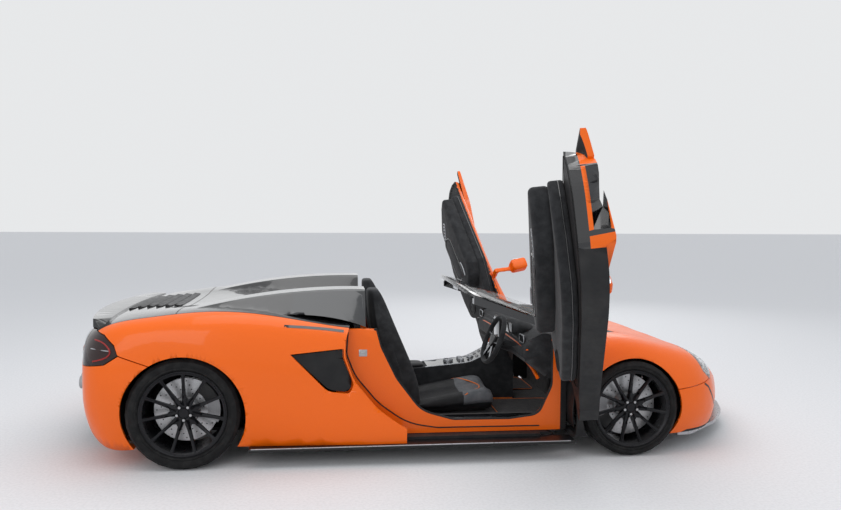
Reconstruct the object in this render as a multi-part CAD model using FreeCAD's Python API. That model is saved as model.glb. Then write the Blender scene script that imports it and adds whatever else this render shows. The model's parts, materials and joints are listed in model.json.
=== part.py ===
import FreeCAD, Part
import math
import os

# A mid-engined open two-seater whose two doors swing up and out about leaning hinges.
# Millimetres. X runs forward from the rear axle's line on the ground, Y to the left, Z up.
# Every finished shape is shifted at the end so that the origin is at the bottom centre of the whole.
os.makedirs("parts", exist_ok=True)
V = FreeCAD.Vector

# Driving dimensions of the whole
wheelbase = 2700.0
front_overhang = 1010.0
rear_overhang = 770.0
mid_length = (wheelbase + front_overhang - rear_overhang) / 2
panel_gap = 5.0
skin_wall = 18.0
seat_clearance = 0.3

# Wheels and tyres
rear_tyre_radius = 329.0
front_tyre_radius = 298.0
rear_tyre_width = 265.0
front_tyre_width = 214.0
rear_rim_radius = 252.0
front_rim_radius = 240.0
rear_rim_face = 935.0
front_rim_face = 925.0
rim_barrel_wall = 9.0
spoke_count = 11
spoke_width = 15.0
spoke_depth = 26.0
hub_radius = 58.0
kingpin_inset = 190.0
disc_radius_rear = 188.0
disc_radius_front = 192.0
disc_thickness = 30.0
rear_arch_radius = 357.0
rear_arch_z = 309.0
front_arch_radius = 319.0
front_arch_z = 291.0
liner_wall = 8.0
liner_inner_y = 545.0

# Door hinge: a point on the axis and its direction for the right side, and the opening angle
hinge_point = (2335.0, -834.0, 680.0)
hinge_axis = (-0.436, 0.431, 0.790)
door_open_angle = 88.5
hinge_pin_radius = 7.0
hinge_barrel_radius = 13.0
hinge_barrel_half = 28.0
hinge_ear_reach = 45.0
running_fit = 0.05
door_inner_y = 790.0
trim_inner_y = 705.0
trim_rest_y = 602.0

# Body sections: x, then y and z from the lower edge over the side and the crest to the middle
section_span = (0.0, 140.0, 330.0, 550.0, 730.0, 860.0, 1200.0, 1630.0)
body_sections = (
    (-rear_overhang, ((90, 370), (105, 425), (110, 500), (105, 565), (92, 608), (72, 618), (36, 623),
    (0, 624))),
    (-745, ((228, 335), (252, 405), (262, 500), (254, 590), (232, 642), (188, 656), (92, 661), (0, 663))),
    (-700, ((400, 295), (438, 382), (452, 500), (440, 612), (400, 684), (330, 704), (160, 712), (0, 716))),
    (-640, ((575, 240), (622, 350), (640, 500), (622, 645), (560, 735), (470, 758), (235, 770), (0, 775))),
    (-560, ((735, 172), (835, 340), (862, 500), (838, 662), (748, 772), (625, 802), (310, 820), (0, 826))),
    (-480, ((800, 120), (885, 330), (925, 500), (905, 680), (820, 805), (690, 835), (340, 850), (0, 856))),
    (-200, ((860, 120), (925, 300), (950, 480), (940, 700), (880, 850), (760, 885), (400, 885), (0, 880))),
    (100, ((875, 120), (938, 300), (962, 480), (955, 700), (893, 870), (775, 912), (430, 905), (0, 895))),
    (450, ((895, 120), (933, 280), (945, 460), (935, 670), (870, 850), (770, 898), (440, 915), (0, 915))),
    (960, ((915, 120), (925, 260), (915, 420), (898, 610), (850, 765), (780, 815), (450, 830), (0, 835))),
    (1500, ((915, 120), (918, 260), (892, 420), (888, 600), (845, 735), (790, 780), (450, 800), (0, 805))),
    (2050, ((900, 120), (910, 260), (900, 420), (902, 580), (855, 710), (775, 755), (430, 775), (0, 780))),
    (2400, ((890, 120), (918, 270), (930, 425), (924, 585), (874, 704), (765, 742), (400, 745), (0, 750))),
    (2700, ((880, 120), (930, 265), (940, 420), (920, 590), (845, 695), (735, 722), (380, 712), (0, 708))),
    (3000, ((860, 120), (915, 245), (925, 380), (890, 520), (800, 628), (690, 655), (350, 650), (0, 648))),
    (3180, ((800, 120), (858, 230), (868, 350), (836, 475), (746, 575), (632, 604), (318, 610), (0, 611))),
    (3300, ((705, 120), (762, 210), (775, 315), (743, 428), (657, 522), (556, 552), (280, 563), (0, 566))),
    (3400, ((560, 120), (612, 195), (625, 285), (598, 380), (530, 464), (448, 494), (224, 510), (0, 515))),
    (3500, ((395, 120), (442, 180), (455, 255), (436, 335), (385, 408), (324, 438), (164, 457), (0, 462))),
    (3600, ((240, 120), (275, 168), (285, 225), (272, 292), (240, 348), (200, 372), (100, 388), (0, 393))),
    (3680, ((110, 125), (132, 162), (138, 205), (132, 252), (116, 292), (96, 310), (48, 322), (0, 326))),
    (wheelbase + front_overhang, ((60, 132), (72, 158), (76, 192), (72, 226), (62, 252), (51, 262),
    (26, 269), (0, 271))),
)

# Outline of the right door's opening in the car's side, seen along Y: x, z, corner radius
door_outline = (
    (990, 900, 0), (935, 735, 60), (932, 640, 120), (985, 500, 300), (1130, 325, 400), (1310, 195, 400),
    (1500, 160, 300), (2140, 155, 120), (2240, 118, 60), (2350, 118, 30), (2350, 280, 150), (2262, 900, 0),
)
inner_outline = (
    (1090, 900, 0), (1150, 675, 150), (1245, 480, 250), (1400, 275, 200), (1600, 215, 120), (1960, 212, 120),
    (2150, 235, 90), (2235, 420, 120), (2235, 900, 0),
)


def box(x0, x1, y0, y1, z0, z1):
    return Part.makeBox(x1 - x0, y1 - y0, z1 - z0, V(x0, y0, z0))


def rounded_wire(corners, place):
    """Closed wire through corners (u, v, radius), each corner rounded by a tangent arc."""
    points = [V(u, v, 0) for u, v, radius in corners]
    ends = []
    arcs = []
    for i, (u, v, radius) in enumerate(corners):
        here = points[i]
        back = (points[i - 1] - here).normalize()
        ahead = (points[(i + 1) % len(points)] - here).normalize()
        half = back.getAngle(ahead) / 2
        if radius <= 0 or half > math.pi / 2 - 1e-3:
            ends.append((here, here))
            arcs.append(None)
            continue
        reach = radius / math.tan(half)
        middle = (back + ahead).normalize()
        centre = here + middle * (radius / math.sin(half))
        ends.append((here + back * reach, here + ahead * reach))
        arcs.append(centre - middle * radius)
    edges = []
    for i in range(len(corners)):
        start, end = ends[i]
        if arcs[i] is not None:
            edges.append(Part.Arc(place(start), place(arcs[i]), place(end)).toShape())
        following = ends[(i + 1) % len(corners)][0]
        if (following - end).Length > 1e-4:
            edges.append(Part.LineSegment(place(end), place(following)).toShape())
    return Part.Wire(edges)


def side_prism(corners, y0, y1):
    """Prism of an outline in the X-Z plane, between two planes across Y."""
    wire = rounded_wire(corners, lambda p: V(p.x, y0, p.y))
    return Part.Face(wire).extrude(V(0, y1 - y0, 0))


def plan_prism(corners, z0, z1):
    """Prism of an outline in the X-Y plane, between two heights."""
    wire = rounded_wire(corners, lambda p: V(p.x, p.y, z0))
    return Part.Face(wire).extrude(V(0, 0, z1 - z0))


def cross_prism(corners, x0, x1):
    """Prism of an outline in the Y-Z plane, between two stations along X."""
    wire = rounded_wire(corners, lambda p: V(x0, p.x, p.y))
    return Part.Face(wire).extrude(V(x1 - x0, 0, 0))


def sharp(points):
    return tuple((u, v, 0) for u, v in points)


def mirrored(shape):
    return shape.mirror(V(0, 0, 0), V(0, 1, 0))


def both(shape):
    return Part.makeCompound([shape, mirrored(shape)])


def fused(shapes):
    whole = shapes[0].multiFuse(shapes[1:])
    return whole.removeSplitter()


def spun(profile, x, z):
    """Solid of revolution about the wheel's axle at x, z, from an outline of (y, radius)."""
    points = [V(x, y, z + r) for y, r in profile]
    face = Part.Face(Part.makePolygon(points + points[:1]))
    return face.revolve(V(x, 0, z), V(0, 1, 0), 360)


def across(x, z, radius, y0, y1):
    """Cylinder along Y."""
    return Part.makeCylinder(radius, y1 - y0, V(x, y0, z), V(0, 1, 0))


def body_form(inset):
    """The closed outer form of the body, drawn in by inset on every side."""
    wires = []
    last = len(body_sections) - 1
    for index, (x, half) in enumerate(body_sections):
        station = x + (inset if index == 0 else 0) - (inset if index == last else 0)
        drawn = []
        for i, (y, z) in enumerate(half):
            before = half[max(i - 1, 0)]
            after = half[i + 1] if i + 1 < len(half) else (-half[i - 1][0], half[i - 1][1])
            ty, tz = after[0] - before[0], after[1] - before[1]
            size = math.hypot(ty, tz)
            drawn.append((y - inset * tz / size, z + inset * ty / size))
        drawn[0] = (half[0][0] - inset, half[0][1] + inset)
        drawn[-1] = (0.0, half[-1][1] - inset)
        full = drawn + [(-y, z) for y, z in reversed(drawn[:-1])]
        spans = list(section_span) + [2 * section_span[-1] - s for s in reversed(section_span[:-1])]
        upper = Part.BSplineCurve()
        upper.interpolate(Points=[V(station, y, z) for y, z in full], Parameters=spans)
        floor = Part.LineSegment(V(station, *full[-1]), V(station, *full[0]))
        wires.append(Part.Wire([upper.toShape(), floor.toShape()]))
    return Part.makeLoft(wires, True, False)


def turned_door(shape, side):
    """Turns a right-side (side -1) or left-side (side 1) door piece from shut to fully open."""
    point = V(hinge_point[0], -side * hinge_point[1], hinge_point[2])
    axis = V(hinge_axis[0], -side * hinge_axis[1], hinge_axis[2])
    copy = shape.copy()
    copy.rotate(point, axis, -side * door_open_angle)
    return copy


def strut(start, end, radius):
    """Round bar from one point to another."""
    return Part.makeCylinder(radius, (end - start).Length, start, end - start)


def swept_half(middle, corner, profile):
    """Left half of a bar that crosses the car as an arc; its profile is (x, z) about the middle."""
    mx, my, mz = middle
    cx, cy, cz = corner
    arc = Part.Arc(V(cx, -cy, cz), V(mx, my, mz), V(cx, cy, cz)).toShape()
    middle_parameter = (arc.FirstParameter + arc.LastParameter) / 2
    path = Part.Wire([Part.Edge(arc.Curve, middle_parameter, arc.LastParameter)])
    points = [V(mx + x, my, mz + z) for x, z in profile]
    return path.makePipeShell([Part.makePolygon(points + points[:1])], True, False)


# The skin and the openings cut through it
outer_form = body_form(0)
skin = outer_form.cut(body_form(skin_wall))
lined_form = body_form(skin_wall + seat_clearance)
wheel_sites = (
    ("rear", 0.0, rear_tyre_radius, rear_rim_radius, rear_rim_face, rear_tyre_width, disc_radius_rear, 1),
    ("front", wheelbase, front_tyre_radius, front_rim_radius, front_rim_face, front_tyre_width,
    disc_radius_front, -1),
)
rear_house_radius = 368.0
front_house_radius = 368.0
arches = []
for x, z, lip, house in (
    (0.0, rear_arch_z, rear_arch_radius, rear_house_radius),
    (wheelbase, front_arch_z, front_arch_radius, front_house_radius),
):
    arches.append(across(x, z, lip, 700, 1100))
    arches.append(across(x, z, lip, -1100, -700))
    arches.append(across(x, z, house, liner_inner_y, 700))
    arches.append(across(x, z, house, -700, -liner_inner_y))
door_cut_right = side_prism(door_outline, -1100, -600)
cabin_rear_x = 1060.0
cowl_x = 2440.0
bonnet_rear_x = 2690.0
bonnet_half_width = 640.0
lid_gap = 6.0
cabin_half_width = 835.0
cabin_cut = plan_prism(
    ((cabin_rear_x, -cabin_half_width, 60), (2300, -cabin_half_width, 120), (cowl_x, -790, 40),
     (bonnet_rear_x, -bonnet_half_width, 0), (bonnet_rear_x, bonnet_half_width, 0),
     (cowl_x, 790, 40), (2300, cabin_half_width, 120), (cabin_rear_x, cabin_half_width, 60)), 600, 1100)
open_skin = skin.cut(arches + [door_cut_right, mirrored(door_cut_right), cabin_cut])

nodes = {}
tray_top = 120.0 + skin_wall
nodes["undertray"] = open_skin.common(box(-155, 3560, -850, 850, 100, tray_top)).cut(
    both(box(2140, 2260, 815, 860, 100, 140)))
body_sides = open_skin.cut([box(-155, 3560, -850, 850, 100, tray_top + 0.5),
                            box(-155, 1000, -850, 850, 100, tray_top + 30),
                            box(2650, 3010, -560, 560, 100, tray_top + 30)])

# Bonnet lid between the front wings
bonnet_outline = (
    (bonnet_rear_x, -bonnet_half_width, 30), (3330, -470, 60), (3400, -300, 80), (3400, 300, 80),
    (3330, 470, 60),
    (bonnet_rear_x, bonnet_half_width, 30),
)
bonnet_seam = plan_prism(bonnet_outline, 430, 900)


def drawn_in(corners, gap):
    """The same outline drawn in by a gap towards its middle."""
    mu = sum(c[0] for c in corners) / len(corners)
    mv = sum(c[1] for c in corners) / len(corners)
    return tuple((u - math.copysign(gap, u - mu), v - math.copysign(gap, v - mv), r) for u, v, r in corners)


lid_outline = tuple(
    (u, v, 48 if radius == 30 else radius) for u, v, radius in drawn_in(bonnet_outline, panel_gap)
)
nodes["bonnet"] = body_sides.common(plan_prism(lid_outline, 430, 900))

# Head lamps, tail lamps and the bumpers' seams, as outlines seen along Y
head_lamp_outline = sharp(((3160, 640), (3222, 492), (3290, 432), (3415, 478), (3330, 590), (3240, 640)))
head_lamp_depth = 45.0
head_lamp_cut = both(side_prism(head_lamp_outline, -900, -530))
lamp_front = outer_form.cut(lined_form)
lamp_back = lined_form.cut(body_form(head_lamp_depth))


def lamp_pair(outline, y0, y1):
    """Lens flush with the skin and a housing behind it that bears on the skin's inner face."""
    lens = lamp_front.common(side_prism(drawn_in(outline, 4), y0, y1))
    housing = lamp_back.common(side_prism(drawn_in(outline, 8), y0, y1 + 8))
    return both(fused([lens, housing]))


nodes["head_lamps"] = lamp_pair(head_lamp_outline, -900, -536)
tail_lamp_outline = sharp(((-560, 815), (-615, 650), (-590, 600), (-430, 622), (-352, 672), (-375, 735),
    (-440, 788)))
tail_lamp_cut = both(side_prism(tail_lamp_outline, -980, -600))
nodes["tail_lamps"] = lamp_pair(tail_lamp_outline, -980, -606)
front_bumper_region = side_prism(sharp(((2940, 0), (2940, 300), (3000, 410), (3110, 420), (3290, 440),
    (3420, 500),
                                        (3900, 500), (3900, 0))), -1100, 1100)
rear_bumper_region = side_prism(sharp(((-900, 0), (-900, 860), (-480, 760), (-350, 670), (-160, 600),
    (-160, 0))),
                                -1100, 1100)

front_part = body_sides.common(box(2300, 3900, -1100, 1100, 0, 1100)).cut([bonnet_seam, head_lamp_cut])
nodes["front_bumper"] = front_part.common(front_bumper_region)
wing_relief = side_prism(sharp(((2200, 560), (2326, 560), (2342, 620), (2342, 728), (2200, 800))),
    -1100, -815)
wing_seam = side_prism(sharp(((2935, 0), (2935, 305), (2995, 415), (3110, 425), (3290, 445), (3420, 505),
                              (3900, 505), (3900, 0))), -1100, 1100)
nodes["front_wings"] = front_part.cut([wing_relief, mirrored(wing_relief), wing_seam])

# Rear: black deck and tonneau between the haunches
deck_front_x = -60.0
deck_half_width = 812.0
deck_outline = ((-900, -790, 0), (-300, -deck_half_width, 200), (cabin_rear_x + 200, -deck_half_width, 0),
                (cabin_rear_x + 200, deck_half_width, 0), (-300, deck_half_width, 200), (-900, 790, 0))
deck_region = plan_prism(deck_outline, 700, 1100)
rear_part = body_sides.common(box(-900, 1300, -1100, 1100, 0, 1100))
rear_skin = rear_part.cut([deck_region, tail_lamp_cut])
diffuser_half_width = 440.0
nodes["rear_bumper"] = rear_skin.common(rear_bumper_region).cut(
    box(-900, -150, -diffuser_half_width, diffuser_half_width, 0, 352))
nodes["rear_wings"] = rear_skin.cut(side_prism(sharp(((-900, 0), (-900, 865), (-476, 765), (-346, 675),
    (-155, 605), (-155, 0))), -1100, 1100))
deck_piece = rear_part.common(plan_prism(
    tuple((x, y - math.copysign(panel_gap, y), r) for x, y, r in deck_outline), 705, 1100))
deck_piece = deck_piece.cut(tail_lamp_cut)
lip_outer = Part.Arc(V(-548, -735, 700), V(-650, 0, 700), V(-548, 735, 700)).toShape()
lip_inner = Part.Arc(V(-455, 735, 700), V(-500, 0, 700), V(-455, -735, 700)).toShape()
lip_ends = [Part.LineSegment(V(-548, 735, 700), V(-455, 735, 700)).toShape(),
            Part.LineSegment(V(-455, -735, 700), V(-548, -735, 700)).toShape()]
lip_plan = Part.Face(Part.Wire([lip_outer, lip_ends[0], lip_inner, lip_ends[1]])).extrude(V(0, 0, 300))
lip_side = side_prism(sharp(((-440, 820), (-560, 780), (-700, 790), (-700, 868), (-440, 857))), -740, 740)
tail_lip = lip_plan.common(lip_side).cut([body_form(skin_wall - 6), tail_lamp_cut])
nodes["engine_deck"] = fused([deck_piece.common(box(-900, deck_front_x, -900, 900, 600, 1100)), tail_lip])
tonneau_base = deck_piece.common(box(deck_front_x + panel_gap, cabin_rear_x, -900, 900, 600, 1100))

# Buttress: x, lower z, top z, inner and outer y at the foot, inner and outer y at the top
buttress_sections = (
    (cabin_rear_x, 800, 1018, 330, deck_half_width - 42, 430, deck_half_width - 172),
    (850, 860, 1018, 330, deck_half_width - 42, 430, deck_half_width - 162),
    (470, 880, 990, 360, deck_half_width - 37, 450, deck_half_width - 142),
    (0, 875, 905, 420, deck_half_width - 37, 500, deck_half_width - 112),
)
buttress_wires = []
for x, low, top, foot_in, foot_out, top_in, top_out in buttress_sections:
    corners = ((-foot_in, low, 0), (-top_in, top, 30), (-top_out, top, 30), (-foot_out, low, 0))
    buttress_wires.append(rounded_wire(corners, lambda p, x=x: V(x, p.x, p.y)))
buttress = Part.makeLoft(buttress_wires, True, False)
nodes["tonneau"] = fused([tonneau_base, buttress, mirrored(buttress)])

# Diffuser and splitter
diffuser_plate = side_prism(sharp(((-158, 124), (-158, 138), (-740, 330), (-740, 316))), -diffuser_half_width,
                            diffuser_half_width)
fin = side_prism(sharp(((-260, 150), (-740, 318), (-740, 200), (-330, 128))), -4, 4)
fins = []
for y in (-330, -165, 0, 165, 330):
    fins.append(fin.translated(V(0, y, 0)))
diffuser_plan = plan_prism(((-100, -500, 0), (-640, -500, 60), (-755, -200, 200), (-755, 200, 200),
    (-640, 500, 60),
                            (-100, 500, 0)), 0, 500)
nodes["diffuser"] = fused([diffuser_plate] + fins).common(diffuser_plan)
splitter_outline = ((3035, -835, 10), (3130, -825, 60), (3420, -600, 300), (3610, -350, 300),
    (3708, -120, 120),
                    (3708, 120, 120), (3610, 350, 300), (3420, 600, 300), (3130, 825, 60), (3035, 835, 10),
                    (3060, 680, 0), (3360, 400, 0), (3360, -400, 0), (3060, -680, 0))
nodes["splitter"] = plan_prism(splitter_outline, 98, 119)
skirt = cross_prism(((-830, 96, 0), (-830, 119, 0), (-945, 119, 0), (-950, 104, 4), (-940, 96, 4)), 372, 2330)
nodes["side_skirts"] = both(skirt)

# Side intakes let into the rear wings
intake_outline = ((610, 665, 0), (925, 690, 10), (925, 640, 40), (985, 480, 60), (960, 425, 30),
    (830, 440, 100))
intake_cut = side_prism(intake_outline, -1100, -780)
nodes["rear_wings"] = nodes["rear_wings"].cut([intake_cut, mirrored(intake_cut)])
intake_liner = lamp_back.common(side_prism(drawn_in(intake_outline, 8), -1100, -780))

# Mouths in the front bumper, as an outline seen along X, and the panels of mesh behind them and the intakes
mouth_outline = ((-745, 185, 20), (-700, 300, 40), (-470, 262, 60), (-400, 180, 20))
mouth = cross_prism(mouth_outline, 3150, 3720)
mouth_panel_outline = ((-757, 172, 20), (-710, 313, 40), (-460, 274, 60), (-384, 167, 20))
mouth_panel = lamp_back.common(cross_prism(mouth_panel_outline, 3150, 3720))
nodes["front_bumper"] = nodes["front_bumper"].cut(both(mouth))
nodes["side_intakes"] = Part.makeCompound([both(intake_liner), both(mouth_panel)])

# Bonnet hinge: a pin on each front housing and a lug under the lid's rear corner
bonnet_pivot_x = bonnet_rear_x + 30
bonnet_pivot_z = 705.0
bonnet_pin_radius = 5.0
bonnet_lug_y = 585.0
bonnet_lug_width = 14.0
post_y = bonnet_lug_y + bonnet_lug_width + 6
bonnet_post = fused([box(bonnet_pivot_x - 3, bonnet_pivot_x + 16, post_y, post_y + 14, 655,
    bonnet_pivot_z + 3),
                     across(bonnet_pivot_x, bonnet_pivot_z, bonnet_pin_radius, bonnet_lug_y, post_y + 14)])
bonnet_post = bonnet_post.common(body_form(skin_wall + 2))
bonnet_lug = box(bonnet_pivot_x - 12, bonnet_pivot_x + 26, bonnet_lug_y, bonnet_lug_y + bonnet_lug_width,
                 bonnet_pivot_z - 11, bonnet_pivot_z + 30)
bonnet_lug = bonnet_lug.common(body_form(4))
nodes["bonnet"] = fused([nodes["bonnet"], bonnet_lug, mirrored(bonnet_lug)])
pin_bore = across(bonnet_pivot_x, bonnet_pivot_z, bonnet_pin_radius + running_fit, bonnet_lug_y - 1, 700)
post_pocket = across(bonnet_pivot_x, bonnet_pivot_z, 26, post_y - 6, post_y + 20).common(body_form(6))
nodes["bonnet"] = nodes["bonnet"].cut([both(pin_bore), both(post_pocket)])

# Wheel housings
housings = []
for x, z, house in ((0.0, rear_arch_z, rear_house_radius), (wheelbase, front_arch_z, front_house_radius)):
    ring = across(x, z, house + liner_wall, liner_inner_y, 904)
    ring = ring.cut(across(x, z, house, liner_inner_y - 1, 905))
    wall = across(x, z, house + liner_wall, liner_inner_y - liner_wall, liner_inner_y)
    wall = wall.cut(across(x, z, 190, liner_inner_y - 20, liner_inner_y + 1))
    housing = fused([ring, wall]).common(box(-500, 3300, 0, 1000, tray_top + 40, 1000)).common(lined_form)
    if x > 0:
        housing = fused([housing, bonnet_post])
    housings.append(housing)
    housings.append(mirrored(housing))
nodes["wheel_housings"] = Part.makeCompound(housings)

# Tub: floor, sills, bulkheads and the frames that carry engine and axles
floor_z = tray_top + seat_clearance
jamb_inner_y = 744.0
jack_pad_y = 690.0
jack_pad_half = 45.0
jack_pad_z = 112.0
jack_pads = []
jack_pad_holes = []
for x in (1120, 2220):
    jack_pads.append(both(box(x - jack_pad_half, x + jack_pad_half, jack_pad_y - jack_pad_half,
                              jack_pad_y + jack_pad_half, jack_pad_z, floor_z + 5)))
    hole_half = jack_pad_half + panel_gap
    jack_pad_holes.append(both(box(x - hole_half, x + hole_half, jack_pad_y - hole_half,
    jack_pad_y + hole_half,
                                   100, tray_top + 1)))
nodes["undertray"] = nodes["undertray"].cut(jack_pad_holes)
tub_parts = [
    box(980, 2300, -620, 620, floor_z, floor_z + 26),
    box(2290, 2500, -520, 520, floor_z, floor_z + 26),
    box(1050, 2300, 600, jamb_inner_y - seat_clearance, floor_z, 205),
    box(1050, 2300, seat_clearance - jamb_inner_y, -600, floor_z, 205),
    box(990, 1030, -730, 730, floor_z, 900).common(lined_form),
    box(2440, 2480, -520, 520, floor_z, 690),
    box(2470, 3200, -380, 380, floor_z, 400),
    box(-140, 1000, -300, 300, floor_z, 205),
    box(-330, 1000, 300, 380, 215, 270),
    box(-330, 1000, -380, -300, 215, 270),
    box(-120, 1000, 290, 380, floor_z, 216),
    box(-120, 1000, -380, -290, floor_z, 216),
    box(-330, -250, -380, 380, 215, 420),
    box(230, 310, -380, 380, floor_z, 420),
    box(-330, -250, 340, 380, 400, 1000).common(lined_form),
    box(-330, -250, -380, -340, 400, 1000).common(lined_form),
]
towing_y = 250.0
towing_z = 300.0
towing_radius = 8.0
towing_depth = 60.0
towing_hole = Part.makeCylinder(towing_radius, towing_depth, V(3200 - towing_depth, towing_y, towing_z),
    V(1, 0, 0))
nodes["tub"] = fused(tub_parts + jack_pads).cut(towing_hole)
towing_cover_hole = Part.makeCylinder(24, 700, V(3240, towing_y, towing_z), V(1, 0, 0))
nodes["front_bumper"] = nodes["front_bumper"].cut(towing_cover_hole)
jamb = body_form(skin_wall + 2).common(box(880, 2322, -784, -jamb_inner_y, floor_z, 790)).cut(
    side_prism(inner_outline, -1100, -500))
nodes["engine"] = box(330, 930, -280, 280, 205 + seat_clearance, 700)

# Windscreen, its frame and the cowl
header_corner = (1790.0, 600.0, 960.0)
header_middle = (1690.0, 0.0, 1036.0)
pillar_foot = (2400.0, 742.0, 742.0)
cowl_middle = (2545.0, 0.0, 735.0)
hx, hy, hz = header_corner
fx, fy, fz = pillar_foot
header_half = swept_half(header_middle, header_corner, ((-30, -12), (30, -26), (32, -4), (-26, 14)))
cowl_half = swept_half(cowl_middle, pillar_foot, ((-20, -30), (40, -34), (40, -18), (-20, -6)))
pillar_ends = (
    (hx - 30, ((hy - 24, hz - 2), (hy - 28, hz - 44), (hy + 24, hz - 44), (hy + 26, hz + 8))),
    (fx + 40, ((fy - 34, fz - 4), (fy - 34, fz - 50), (fy + 30, fz - 50), (fy + 28, fz - 6))),
)
pillar_wires = [rounded_wire(sharp(corners), lambda p, x=x: V(x, p.x, p.y)) for x, corners in pillar_ends]
pillar = Part.makeLoft(pillar_wires, True, True)
half_frame = [header_half, cowl_half, pillar]
nodes["windscreen_frame"] = fused(half_frame + [mirrored(shape) for shape in half_frame])
upper_edge = Part.Arc(V(hx + 16, -hy + 24, hz + 2), V(header_middle[0] + 14, 0, header_middle[2] + 8),
                      V(hx + 16, hy - 24, hz + 2)).toShape()
lower_edge = Part.Arc(V(fx + 24, -fy + 40, fz - 4), V(cowl_middle[0] + 24, 0, cowl_middle[2] - 4),
                      V(fx + 24, fy - 40, fz - 4)).toShape()
nodes["windscreen"] = Part.makeRuledSurface(upper_edge, lower_edge).extrude(V(1.5, 0, 5)).cut(
    nodes["windscreen_frame"])
# Scuttle panel between the screen's foot and the bonnet
scuttle_x = fx + 38
scuttle_y = fy + 60
scuttle_line = Part.Arc(V(scuttle_x, -scuttle_y, 0), V(cowl_middle[0] + 38, 0, 0),
    V(scuttle_x, scuttle_y, 0)).toShape()
scuttle_front = bonnet_rear_x - lid_gap
scuttle_edge = Part.makePolygon([V(scuttle_x, scuttle_y, 0), V(scuttle_front, bonnet_half_width + 60, 0),
                                 V(scuttle_front, -bonnet_half_width - 60, 0), V(scuttle_x, -scuttle_y, 0)])
scuttle_plan = Part.Face(Part.Wire([scuttle_line] + scuttle_edge.Edges)).extrude(V(0, 0, 1000))
nodes["scuttle"] = skin.common(scuttle_plan).common(cabin_cut).cut(nodes["windscreen_frame"])

# Cabin
seat_y = 362.0
seat_half_width = 222.0
cushion_outline = ((1330, 166, 0), (1900, 166, 40), (1925, 330, 40), (1880, 372, 40), (1420, 290, 30))
back_outline = ((1290, 170, 0), (1440, 260, 60), (1420, 420, 80), (1230, 860, 60), (1165, 1010, 30),
                (1070, 1000, 40), (1090, 820, 60), (1200, 300, 60))
seat = fused([side_prism(cushion_outline, seat_y - seat_half_width, seat_y + seat_half_width),
              side_prism(back_outline, seat_y - seat_half_width + 8, seat_y + seat_half_width - 8)])
seat_front = ((-seat_half_width, 100, 0), (-seat_half_width, 640, 60), (-200, 800, 60), (-130, 880, 50),
    (-112, 1100, 0),
              (112, 1100, 0), (130, 880, 50), (200, 800, 60), (seat_half_width, 640, 60),
              (seat_half_width, 100, 0))
seat = seat.common(cross_prism(seat_front, 1000, 2000).translated(V(0, seat_y, 0)))
seat_base_z = floor_z + 26 + seat_clearance
seat = seat.translated(V(0, 0, seat_base_z - seat.BoundBox.ZMin))
nodes["seats"] = both(seat)
dash_outline = ((2070, 560, 30), (2090, 690, 40), (2200, 738, 60), (2370, 700, 20), (2370, 480, 30),
    (2230, 440, 60))
nodes["dashboard"] = side_prism(dash_outline, -700, 700).cut(
    both(across(wheelbase, front_arch_z, front_house_radius + liner_wall + 2, liner_inner_y - 12, 900)))
console_outline = ((1140, seat_base_z, 0), (1140, 380, 40), (1500, 400, 60), (1850, 430, 60), (2080, 555, 30),
                   (2160, 430, 0), (2160, seat_base_z, 0))
nodes["console"] = side_prism(console_outline, -105, 105)
wheel_centre = V(1950, -seat_y, 640)
column_lean = 22.0
grip_radius = 168.0
grip = Part.makeTorus(grip_radius, 15, wheel_centre, V(1, 0, 0))
boss = Part.makeCylinder(48, 46, wheel_centre - V(8, 0, 0), V(1, 0, 0))
arms = box(1942, 1958, -seat_y - grip_radius, -seat_y + grip_radius, 622, 658)
lower_arm = box(1942, 1958, -seat_y - 20, -seat_y + 20, 640 - grip_radius, 640)
steering_wheel = fused([grip, boss, arms, lower_arm])
steering_wheel.rotate(wheel_centre, V(0, 1, 0), column_lean)
nodes["steering_wheel"] = steering_wheel
column_axis = V(math.cos(math.radians(column_lean)), 0, -math.sin(math.radians(column_lean)))
column_start = wheel_centre + column_axis * (38 + seat_clearance)
dash_end = box(2250, 2316, 690, 744 - seat_clearance, 500, 640)
nodes["dashboard"] = fused([nodes["dashboard"], Part.makeCylinder(36, 150, column_start, column_axis),
    dash_end,
                            mirrored(dash_end)])

# Doors, modelled shut and then turned open
door_gap = 6.0
door_region = side_prism(drawn_in(door_outline, door_gap), -1100, -door_inner_y)
door_top = box(800, 2500, -1100, -600, 0, 812)
door_block = outer_form.common(door_region).common(door_top)
house_clear = across(wheelbase, front_arch_z, front_house_radius + liner_wall + door_gap, -911, -500)
door_block = door_block.cut(house_clear)
trim_region = side_prism(drawn_in(inner_outline, 14), -door_inner_y + seat_clearance, -trim_inner_y)
trim_rest = ((1120, 900, 0), (1180, 700, 90), (1330, 520, 120), (1750, 455, 80), (2010, 500, 60),
    (2040, 640, 60),
             (1990, 740, 60), (1850, 900, 0))
trim_region = trim_region.fuse(side_prism(trim_rest, -trim_inner_y - 10, -trim_rest_y)).removeSplitter()
trim = trim_region.common(box(800, 2500, -1100, -600, 0, 812))
trim = trim.cut(side_prism(sharp(((1860, 812), (2300, 672), (2300, 900), (1860, 900))), -1100, -600))
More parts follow.
